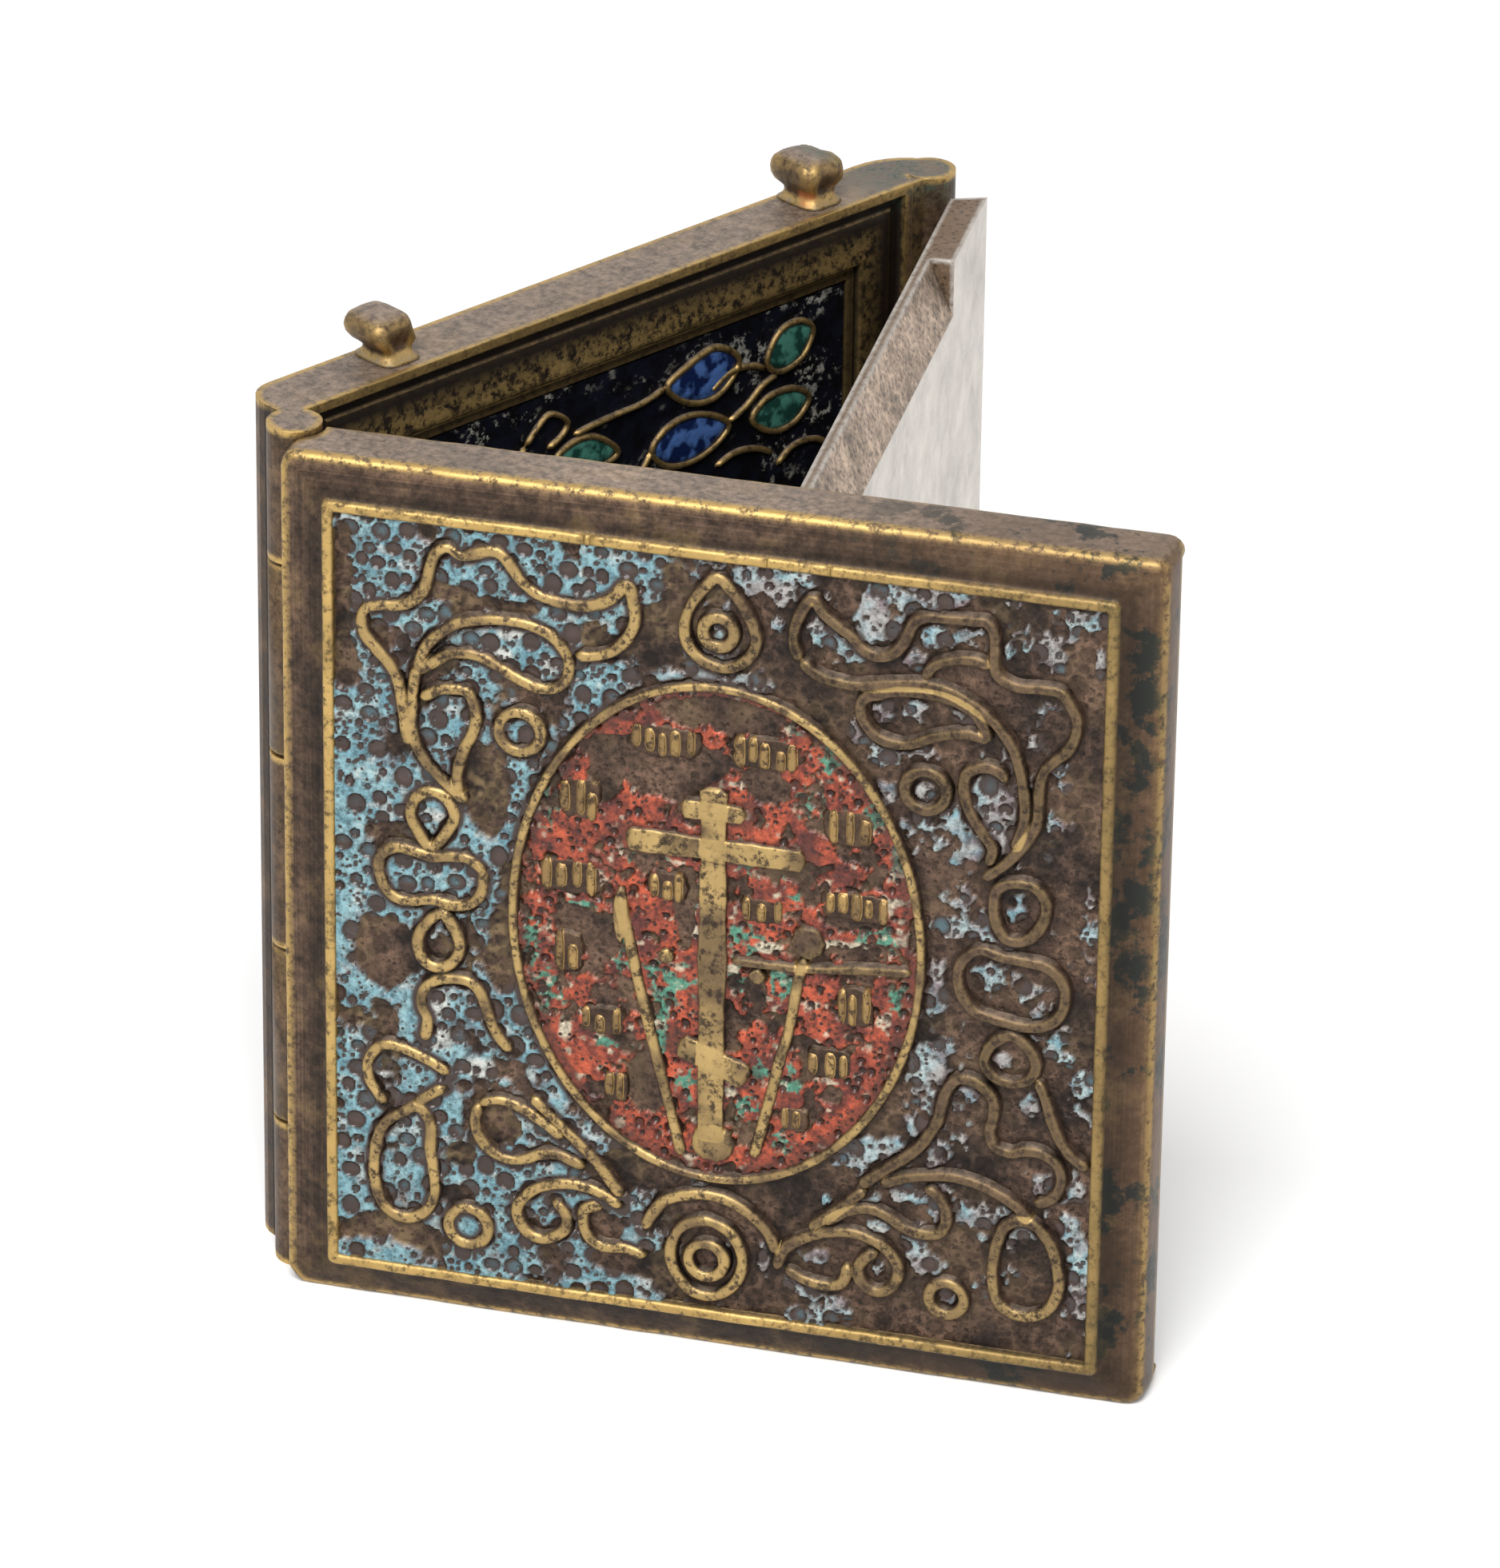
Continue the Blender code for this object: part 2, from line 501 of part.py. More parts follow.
panel_inset, panel_depth = FRAME_PROFILE[-1]
centre_panel = frame_cutter(
    "centre_panel_enamel", LIP_LEFT - middle_x, LIP_RIGHT - middle_x, 0.0, CENTRE_HEIGHT, -middle_y, 1,
    ((panel_inset + PANEL_EDGE_GAP, panel_depth - ENAMEL_GAP - 2 * ENAMEL_THICKNESS),
     (panel_inset + PANEL_EDGE_GAP, panel_depth - ENAMEL_GAP)),
)
cutters.objects.unlink(centre_panel)
parts.objects.link(centre_panel)
centre_panel.hide_render = False
centre_panel.display_type = "TEXTURED"
centre_panel.data.materials.append(dark_glass)

# Hinge pins, fixed in the knuckles of the centre leaf.
for name, axis in (("left_hinge_pin", left_axis), ("right_hinge_pin", right_axis)):
    pin = cylinder(name, PIN_RADIUS, *axis, PIN_FOOT, PIN_TOP, parts, 24)
    pin.data.materials.append(steel)

# Catch lugs, brazed on the top edge: a tapered neck under a wide domed head. Each section is a share of the
# height and a share of the full width and depth.
LUG_SECTIONS = ((0.0, 0.84), (0.16, 0.7), (0.4, 0.8), (0.62, 1.0), (0.76, 1.0), (0.9, 0.78), (1.0, 0.4))


def soft_square(x, y, z, half_x, half_y, count=20):
    """A level ring between a square and an oval."""
    points = []
    for k in range(count):
        angle = 2 * math.pi * k / count
        across, along = math.cos(angle), math.sin(angle)
        points.append((x + half_x * math.copysign(abs(across) ** 0.6, across),
                       y + half_y * math.copysign(abs(along) ** 0.6, along), z))
    return points


for name, middle in (("left_catch_lug", LEFT_LUG_MIDDLE), ("right_catch_lug", RIGHT_LUG_MIDDLE)):
    lug_rings = []
    for rise, share in LUG_SECTIONS:
        height = CENTRE_HEIGHT + LUG_GAP + rise * LUG_HEIGHT
        lug_rings.append(soft_square(middle - middle_x, LUG_SETBACK - middle_y, height,
                                     share * LUG_WIDTH / 2, share * LUG_DEPTH / 2))
    loft(name, lug_rings, parts, brass)

# Left leaf: a raised panel outside, a shallow tray inside that takes the folded right leaf, and two knuckles.
# In its own frame x runs from the hinge, -y is outward and z is up.
fillet_top = LEFT_EDGE + FILLET_RISE
field_level = fillet_top - FIELD_DEPTH
inside = FILLET_WIDTH
left_rings = [
    upright_ring(FILLET_LEFT + inside + 0.1, FILLET_RIGHT - inside - 0.1, FILLET_BOTTOM + inside + 0.1,
                 FILLET_TOP - inside - 0.1, -field_level, 0.2, 2),
    upright_ring(FILLET_LEFT + inside, FILLET_RIGHT - inside, FILLET_BOTTOM + inside, FILLET_TOP - inside,
                 -fillet_top, 0.3, 2),
    upright_ring(FILLET_LEFT, FILLET_RIGHT, FILLET_BOTTOM, FILLET_TOP, -fillet_top, 0.4, 2),
    upright_ring(FILLET_LEFT - 0.1, FILLET_RIGHT + 0.1, FILLET_BOTTOM - 0.1, FILLET_TOP + 0.1,
                 -fillet_top + 0.3, 0.4, 2),
    upright_ring(LEFT_START + 0.1, LEFT_END - 0.5, 0.25, LEFT_HEIGHT - 0.25, -LEFT_EDGE, 0.6, 2),
    upright_ring(LEFT_START, LEFT_END - 0.15, 0.0, LEFT_HEIGHT, -LEFT_EDGE + 0.5, 0.8, 2),
    upright_ring(LEFT_START, LEFT_END, 0.0, LEFT_HEIGHT, -1.6, 0.8, 2),
    upright_ring(LEFT_START, LEFT_END - 0.1, 0.0, LEFT_HEIGHT, -LEFT_INNER - 0.3, 0.8, 2),
    upright_ring(LEFT_START, LEFT_END - 0.4, 0.2, LEFT_HEIGHT - 0.2, -LEFT_INNER, 0.6, 2),
]
left_leaf = loft("left_leaf", left_rings, parts, brass)
tray_left = LEFT_START + 3.0
tray_right = LEFT_END - TRAY_RIM
tray = loft("left_tray", [
    upright_ring(tray_left, tray_right, TRAY_RIM, LEFT_HEIGHT - TRAY_RIM, -LEFT_INNER + 1.0),
    upright_ring(tray_left, tray_right, TRAY_RIM, LEFT_HEIGHT - TRAY_RIM, -TRAY_FLOOR),
    upright_ring(tray_left + 1.6, tray_right - 1.6, TRAY_RIM + 1.6, LEFT_HEIGHT - TRAY_RIM - 1.6, -TRAY_FLOOR),
    upright_ring(tray_left + 1.7, tray_right - 1.7, TRAY_RIM + 1.7, LEFT_HEIGHT - TRAY_RIM - 1.7, -TRAY_FLOOR - 0.5),
], cutters)
boolean(left_leaf, "DIFFERENCE", tray)
low_rim = box(
    "free_rim_relief", (tray_right - 0.5, -LEFT_INNER - FREE_RIM_SETBACK, TRAY_RIM),
    (LEFT_END + 1.0, -LEFT_INNER + 1.0, LEFT_HEIGHT - TRAY_RIM), cutters
)
boolean(left_leaf, "DIFFERENCE", low_rim)
for low, high in centre_knuckles:
    room = cylinder("centre_knuckle_room", scoop_radius, 0.0, 0.0, low - KNUCKLE_GAP, high + KNUCKLE_GAP, cutters)
    boolean(left_leaf, "DIFFERENCE", room)
for low, high in leaf_knuckles:
    boolean(left_leaf, "UNION", cylinder("leaf_knuckle", BARREL_RADIUS, 0.0, 0.0, low, high, cutters))
boolean(left_leaf, "DIFFERENCE", cylinder("leaf_bore", bore_radius, 0.0, 0.0, -1.0, CENTRE_HEIGHT + 1.0, cutters, 24))

# Relief of the cover: every rib starts inside the field and ends just under the fillet's top.
rib_root = field_level - 0.4
rib_top = fillet_top - RIB_DROP
clearance = RIB_WIDTH + 2 * ENAMEL_GAP
enamel_near = field_level + ENAMEL_GAP
enamel_far = enamel_near + ENAMEL_THICKNESS


def raise_rib(name, loops, lowered):
    rib = flat_outline(name, loops, rib_top - lowered - rib_root, cover_ribs)
    stand_up(rib, -rib_root, -(rib_top - lowered))


def clear_field(name, loops, collection):
    cut = flat_outline(name, loops, 2.0, collection)
    stand_up(cut, -(field_level - 0.5), -(field_level + 1.5))


def pool(name, loop, look):
    glass = flat_outline(name, [loop], ENAMEL_THICKNESS, parts, look)
    stand_up(glass, -enamel_near, -enamel_far)
    place_left(glass)
    return glass


closed_cells = {name: oval((x, z), (r, r), 20) for name, (x, z, r) in RING_CELLS.items()}
closed_cells.update(LOOP_CELLS)
for number, (name, loop) in enumerate(closed_cells.items()):
    raise_rib(name + "_rib", ribbon(loop, RIB_WIDTH, True), 0.004 * (number % 8))
    clear_field(name + "_clearance", [grown(loop, clearance / 2)], field_clearances)
    pool(name + "_enamel", grown(loop, -clearance / 2), blue_glass)
for number, path in enumerate(RIB_PATHS):
    raise_rib("open_rib", ribbon(path, RIB_WIDTH, False), 0.034 + 0.004 * (number % 8))
    clear_field("open_rib_clearance", ribbon(path, clearance, False), field_clearances)

medallion = oval(MEDALLION_CENTRE, MEDALLION_RADII, MEDALLION_POINTS)
raise_rib("medallion_rib", ribbon(medallion, RIB_WIDTH, True), 0.07)
clear_field("medallion_clearance", [grown(medallion, clearance / 2)], field_clearances)

(foot_x0, foot_z0), (foot_x1, foot_z1), foot_width = CROSS_FOOT_BAR
foot_bar = ((foot_x0, foot_z0), (foot_x1, foot_z1))
cross_pieces = (
    ("cross_post", [rectangle(*CROSS_POST)], None),
    ("cross_top_bar", [rectangle(*CROSS_TOP_BAR)], None),
    ("cross_main_bar", [rectangle(*CROSS_MAIN_BAR)], None),
    ("cross_foot_bar", foot_bar, foot_width),
    ("cross_knob", [oval(CROSS_KNOB[:2], (CROSS_KNOB[2], CROSS_KNOB[2]), 16)], None),
    ("lance", LANCE_PATH, RIB_WIDTH),
    ("reed", REED_PATH, RIB_WIDTH),
)
for number, (name, shape, width) in enumerate(cross_pieces):
    lowered = 0.08 + 0.006 * number
    if width is None:
        raise_rib(name, shape, lowered)
        around = [grown(shape[0], ENAMEL_GAP)]
    else:
        raise_rib(name, ribbon(shape, width, False), lowered)
        around = ribbon(shape, width + 2 * ENAMEL_GAP, False)
    clear_field(name + "_clearance", around, medallion_clearances)
boolean(left_leaf, "UNION", cover_ribs)
place_left(left_leaf)

# The two large pools of the cover: the blue ground round the scrolls and the red ground of the medallion.
edge = FILLET_WIDTH + 0.1 + PANEL_EDGE_GAP
ground = rectangle(FILLET_LEFT + edge, FILLET_RIGHT - edge, FILLET_BOTTOM + edge, FILLET_TOP - edge)
cover_ground = flat_outline("cover_ground_enamel", [ground], ENAMEL_THICKNESS, parts, blue_glass)
stand_up(cover_ground, -enamel_near, -enamel_far)
boolean(cover_ground, "DIFFERENCE", field_clearances)
keep_largest_piece(cover_ground)
place_left(cover_ground)
red_ground = grown(medallion, -clearance / 2)
medallion_glass = flat_outline("medallion_enamel", [red_ground], ENAMEL_THICKNESS, parts, red_glass)
stand_up(medallion_glass, -enamel_near, -enamel_far)
boolean(medallion_glass, "DIFFERENCE", medallion_clearances)
keep_largest_piece(medallion_glass)
place_left(medallion_glass)

# Enamel panel on the floor of the tray.
inner_panel = box(
    "left_inner_panel_enamel",
    (tray_left + 1.7 + PANEL_EDGE_GAP, -TRAY_FLOOR - 0.5 + ENAMEL_GAP, TRAY_RIM + 1.7 + PANEL_EDGE_GAP),
    (tray_right - 1.7 - PANEL_EDGE_GAP, -TRAY_FLOOR - 0.5 + ENAMEL_GAP + ENAMEL_THICKNESS,
     LEFT_HEIGHT - TRAY_RIM - 1.7 - PANEL_EDGE_GAP),
    parts,
)
inner_panel.data.materials.append(dark_glass)
place_left(inner_panel)

# Right leaf: a thin plate with a steep bevel on the outside of its top, free and bottom edges.
# In its own frame x runs from the hinge, +y is outward and z is up.
right_outer = RIGHT_INNER + RIGHT_THICKNESS
right_plan = [
    (RIGHT_START_INNER, RIGHT_INNER), (RIGHT_END, RIGHT_INNER), (RIGHT_END, right_outer),
    (RIGHT_START_OUTER, right_outer),
]
right_leaf = flat_outline("right_leaf", [right_plan], RIGHT_TOP - RIGHT_BOTTOM, parts, pale_brass)
right_leaf.data.transform(Matrix.Translation((0.0, 0.0, (RIGHT_TOP + RIGHT_BOTTOM) / 2 * MM)))
strip = RIGHT_INNER + BEVEL_TOP_STRIP
wedges = (
    ("top_bevel", ((strip, RIGHT_TOP), (right_outer, RIGHT_TOP - BEVEL_DROP))),
    ("bottom_bevel", ((strip, RIGHT_BOTTOM), (right_outer, RIGHT_BOTTOM + BEVEL_DROP))),
)
for name, ((y0, z0), (y1, z1)) in wedges:
    slope = (z1 - z0) / (y1 - y0)
    beyond = 2.0
    far = (y1 + beyond, z1 + slope * beyond)
    near = (y0 - 0.3, z0 - slope * 0.3)
    corner = (far[0], near[1])
    rings = []
    for x in (BEVEL_START, RIGHT_END + 2.0):
        rings.append([(x, near[0], near[1]), (x, far[0], far[1]), (x, corner[0], corner[1])])
    boolean(right_leaf, "DIFFERENCE", loft(name, rings, cutters))
end_slope = BEVEL_DROP / (right_outer - strip)
end_rings = []
for z in (RIGHT_BOTTOM - 2.0, RIGHT_TOP + 2.0):
    end_rings.append([
        (RIGHT_END + 0.3 * end_slope, strip - 0.3, z), (RIGHT_END - BEVEL_DROP - 2.0 * end_slope, right_outer + 2.0, z),
        (RIGHT_END + 0.3 * end_slope, right_outer + 2.0, z),
    ])
boolean(right_leaf, "DIFFERENCE", loft("end_bevel", end_rings, cutters))
RIGHT_RIM = 3.0
RIGHT_RECESS = 0.6
recess = loft("right_recess", [
    upright_ring(RIGHT_START_INNER + RIGHT_RIM + 1.5, RIGHT_END - RIGHT_RIM, RIGHT_BOTTOM + RIGHT_RIM,
                 RIGHT_TOP - RIGHT_RIM, RIGHT_INNER - 1.0),
    upright_ring(RIGHT_START_INNER + RIGHT_RIM + 1.5, RIGHT_END - RIGHT_RIM, RIGHT_BOTTOM + RIGHT_RIM,
                 RIGHT_TOP - RIGHT_RIM, RIGHT_INNER + RIGHT_RECESS),
], cutters)
boolean(right_leaf, "DIFFERENCE", recess)
for low, high in centre_knuckles:
    room = cylinder("centre_knuckle_room", scoop_radius, 0.0, 0.0, low - KNUCKLE_GAP, high + KNUCKLE_GAP, cutters)
    boolean(right_leaf, "DIFFERENCE", room)
for low, high in leaf_knuckles:
    boolean(right_leaf, "UNION", box("leaf_web", (WEB_START, WEB_INNER, low), (WEB_END, WEB_OUTER, high), cutters))
    boolean(right_leaf, "UNION", cylinder("leaf_knuckle", BARREL_RADIUS, 0.0, 0.0, low, high, cutters))
boolean(right_leaf, "DIFFERENCE", cylinder("leaf_bore", bore_radius, 0.0, 0.0, -1.0, CENTRE_HEIGHT + 1.0, cutters, 24))
place_right(right_leaf)
right_panel = box(
    "right_inner_panel_enamel",
    (RIGHT_START_INNER + RIGHT_RIM + 1.5 + PANEL_EDGE_GAP, RIGHT_INNER + RIGHT_RECESS - ENAMEL_GAP - ENAMEL_THICKNESS,
     RIGHT_BOTTOM + RIGHT_RIM + PANEL_EDGE_GAP),
    (RIGHT_END - RIGHT_RIM - PANEL_EDGE_GAP, RIGHT_INNER + RIGHT_RECESS - ENAMEL_GAP,
     RIGHT_TOP - RIGHT_RIM - PANEL_EDGE_GAP),
    parts,
)
right_panel.data.materials.append(dark_glass)
place_right(right_panel)
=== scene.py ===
# Travel icon triptych: three cast brass leaves on two pin hinges, dressed for a picture.
# The left leaf carries the enamelled relief cover and stands part folded over the other two.
import math

import bmesh
import bpy
import numpy as np
from mathutils import Matrix
from mathutils import Vector
from mathutils import kdtree


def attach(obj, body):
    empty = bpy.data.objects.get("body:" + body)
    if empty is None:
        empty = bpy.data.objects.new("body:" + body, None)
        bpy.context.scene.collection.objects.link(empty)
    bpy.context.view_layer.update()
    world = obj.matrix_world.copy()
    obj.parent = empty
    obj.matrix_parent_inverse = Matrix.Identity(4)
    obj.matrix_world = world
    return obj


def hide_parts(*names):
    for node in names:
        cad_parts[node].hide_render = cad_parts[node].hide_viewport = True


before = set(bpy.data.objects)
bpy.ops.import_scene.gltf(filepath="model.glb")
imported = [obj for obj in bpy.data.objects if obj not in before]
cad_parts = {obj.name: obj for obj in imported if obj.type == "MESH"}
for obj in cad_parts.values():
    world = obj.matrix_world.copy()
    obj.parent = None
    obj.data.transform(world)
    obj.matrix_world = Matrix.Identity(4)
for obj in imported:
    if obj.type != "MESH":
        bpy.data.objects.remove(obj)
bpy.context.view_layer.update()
scene = bpy.context.scene
scene.view_settings.view_transform = "Standard"

# The table top: a plain white sheet under the icon, which runs out of view and keeps the soft shadow
# that the leaves cast on it.
TABLE_REACH = 4.0
TABLE_WHITE = (0.94, 0.94, 0.94)
TABLE_GREY = (0.91, 0.91, 0.91)
TABLE_GLOW = 0.07
PAPER_GRAIN = {"Scale": 60.0, "Detail": 3.0}
PAPER_SHADE = 0.97
PAPER_ROUGHNESS = 0.7
PAPER_SPECULAR = 0.1
table_mesh = bpy.data.meshes.new("table_top")
table_corners = [(-TABLE_REACH, -TABLE_REACH, 0), (TABLE_REACH, -TABLE_REACH, 0),
                 (TABLE_REACH, TABLE_REACH, 0), (-TABLE_REACH, TABLE_REACH, 0)]
table_mesh.from_pydata(table_corners, [], [(0, 1, 2, 3)])
table_top = bpy.data.objects.new("table_top", table_mesh)
scene.collection.objects.link(table_top)


def add_node(tree, kind, sockets=None, **settings):
    """Add a shader node, set its options, then fill its sockets with values or links."""
    made = tree.nodes.new(kind)
    for key, value in settings.items():
        setattr(made, key, value)
    for key, value in (sockets or {}).items():
        if isinstance(value, bpy.types.NodeSocket):
            tree.links.new(value, made.inputs[key])
        else:
            made.inputs[key].default_value = value
    return made


def new_finish(name):
    """A new material with its node tree and its shader."""
    finish = bpy.data.materials.new(name)
    finish.use_nodes = True
    return finish, finish.node_tree, finish.node_tree.nodes["Principled BSDF"]


def ramp(tree, value, start=0.0, end=1.0, low=0.0, high=1.0):
    """Runs from low to high while the value runs from start to end, and stays level beyond them."""
    sockets = {"Value": value, "From Min": start, "From Max": end, "To Min": low, "To Max": high}
    return add_node(tree, "ShaderNodeMapRange", sockets).outputs["Result"]


def mixed(tree, share, first, second, way="MIX"):
    """Two colours mixed by a share, each a link or a plain red, green and blue."""
    first, second = ((*colour, 1.0) if isinstance(colour, tuple) else colour for colour in (first, second))
    sockets = {"Fac": share, "Color1": first, "Color2": second}
    return add_node(tree, "ShaderNodeMixRGB", sockets, blend_type=way).outputs["Color"]


def larger(tree, first, second, clamp=False):
    """The larger of two values."""
    pair = {0: first, 1: second}
    return add_node(tree, "ShaderNodeMath", pair, operation="MAXIMUM", use_clamp=clamp).outputs[0]


def seen_white(tree):
    """1 where the camera looks straight at a surface, or sees it in metal or through glass."""
    path = add_node(tree, "ShaderNodeLightPath")
    shown = larger(tree, path.outputs["Is Camera Ray"], path.outputs["Is Glossy Ray"])
    return larger(tree, shown, path.outputs["Is Transmission Ray"])


table_finish, tree, shader = new_finish("white_paper")
grain = add_node(tree, "ShaderNodeTexNoise", PAPER_GRAIN)
paper = ramp(tree, grain.outputs["Fac"], low=PAPER_SHADE)
tint = mixed(tree, paper, TABLE_GREY, TABLE_WHITE)
tree.links.new(tint, shader.inputs["Base Color"])
shader.inputs["Roughness"].default_value = PAPER_ROUGHNESS
shader.inputs["Specular IOR Level"].default_value = PAPER_SPECULAR
shader.inputs["Emission Color"].default_value = (1, 1, 1, 1)
glow = ramp(tree, seen_white(tree), high=TABLE_GLOW)
tree.links.new(glow, shader.inputs["Emission Strength"])
table_mesh.materials.append(table_finish)

# The light: a white room that lights the icon evenly from all round, and one broad soft lamp from the upper
# left. The room is white where it is looked at or mirrored, and dimmer where it lights the icon.
ROOM_LEVEL = 0.5
LAMP_PLACE = (-0.45, -0.35, 0.75)
LAMP_SIZE = 0.42
LAMP_POWER = 8.8
world = bpy.data.worlds.new("white_room")
scene.world = world
world.use_nodes = True
tree = world.node_tree
background = tree.nodes["Background"]
background.inputs["Color"].default_value = (1, 1, 1, 1)
level = ramp(tree, seen_white(tree), low=ROOM_LEVEL, high=1.0)
tree.links.new(level, background.inputs["Strength"])
lamp_data = bpy.data.lights.new("soft_lamp", "AREA")
lamp_data.size = LAMP_SIZE
lamp_data.energy = LAMP_POWER
lamp = bpy.data.objects.new("soft_lamp", lamp_data)
lamp.location = LAMP_PLACE
lamp.rotation_euler = (-Vector(LAMP_PLACE)).to_track_quat("-Z", "Y").to_euler()
scene.collection.objects.link(lamp)

# The camera: a long lens that looks down at the front left corner of the folded icon, so that upright edges
# stay almost upright in the picture.
IMAGE_WIDTH = 1876
SENSOR_WIDTH = 36.0
FOCAL_PIXELS = 12189.3
CAMERA_PLACE = (-0.40795, -0.43914, 0.32851)
CAMERA_YAW = math.radians(43.91)
CAMERA_PITCH = math.radians(26.898)
CAMERA_ROLL = math.radians(-0.774)
ahead = Vector((math.sin(CAMERA_YAW) * math.cos(CAMERA_PITCH),
                math.cos(CAMERA_YAW) * math.cos(CAMERA_PITCH),
                -math.sin(CAMERA_PITCH)))
level_right = Vector((math.cos(CAMERA_YAW), -math.sin(CAMERA_YAW), 0.0))
level_down = ahead.cross(level_right)
right = math.cos(CAMERA_ROLL) * level_right + math.sin(CAMERA_ROLL) * level_down
down = math.cos(CAMERA_ROLL) * level_down - math.sin(CAMERA_ROLL) * level_right
camera_data = bpy.data.cameras.new("camera")
camera_data.sensor_fit = "HORIZONTAL"
camera_data.sensor_width = SENSOR_WIDTH
camera_data.lens = FOCAL_PIXELS / IMAGE_WIDTH * SENSOR_WIDTH
camera = bpy.data.objects.new("camera", camera_data)
turn = Matrix((right, -down, -ahead)).transposed()
camera.matrix_world = Matrix.Translation(CAMERA_PLACE) @ turn.to_4x4()
scene.collection.objects.link(camera)
scene.camera = camera

# Centre leaf: a sand-cast brass plate, filed on the lip and edges, and dark in the hollows of its moulded
# frame, with grime and painted shade. Handling has rubbed the high edges back to bright metal.
# Its solid is the CAD node.
BROWN_PATINA = (0.115, 0.07, 0.045)
WORN_GOLD = (0.61, 0.41, 0.15)
UP_DUST_AND_LIGHT = (0.26, 0.2, 0.155)
UP_DUST_AND_LIGHT_SHARE = 0.75
HOLLOW_REACH = 0.0018
EDGE_ROUNDING = 0.00016
BRASS_SMOOTH = 0.28
BRASS_ROUGH = 0.6
BRASS_SPECULAR = 0.3
BRASS_BUMP = 0.45
PATINA_METAL = 0.45
PATINA_DARK = 0.4
GOLD_DARK = 0.62
HOLLOW_SAMPLES = 8
ROUNDING_SAMPLES = 4


def noise(tree, place, scale, detail, roughness=0.5):
    """Cloudy noise from 0 to 1 all through a solid."""
    sockets = {"Vector": place, "Scale": scale, "Detail": detail, "Roughness": roughness}
    return add_node(tree, "ShaderNodeTexNoise", sockets).outputs["Fac"]


def times(tree, first, second, clamp=False):
    """The product of two values."""
    pair = {0: first, 1: second}
    return add_node(tree, "ShaderNodeMath", pair, operation="MULTIPLY", use_clamp=clamp).outputs[0]


def shaded(tree, colour, amount):
    """A colour made darker or lighter by an amount, where 1 leaves it alone."""
    return mixed(tree, 1.0, colour, amount, "MULTIPLY")


# A span is where a value starts and ends to count and, where given, what it then runs from and to.
# A noise is its scale, its detail and, where given, its roughness.
BRASS_CLOUD_NOISE = (240.0, 7.0, 0.68)
BRASS_FINE_NOISE = (1500.0, 6.0, 0.75)
BRASS_EDGE_SPAN = (0.98, 0.68)
BRASS_BROKEN_SPAN = (0.36, 0.6)
BRASS_BROKEN_MOST = 1.7
BRASS_SCUFF_SPAN = (0.42, 0.51, 0.1, 1.1)
BRASS_DRIFT_SPAN = (0.54, 0.74)
BRASS_DRIFT_MOST = 0.32
BRASS_SPREAD_SPAN = (0.36, 0.6)
BRASS_MOTTLE_SPAN = (0.38, 0.62, 0.5, 1.45)
BRASS_HOLLOW_GRIME_AND_SHADE_SPAN = (0.35, 0.92, 0.16, 1.0)
BRASS_DUST_AND_LIGHT_SPAN = (0.75, 0.98)
BRASS_SHINE_SPAN = (0.3, 0.7)


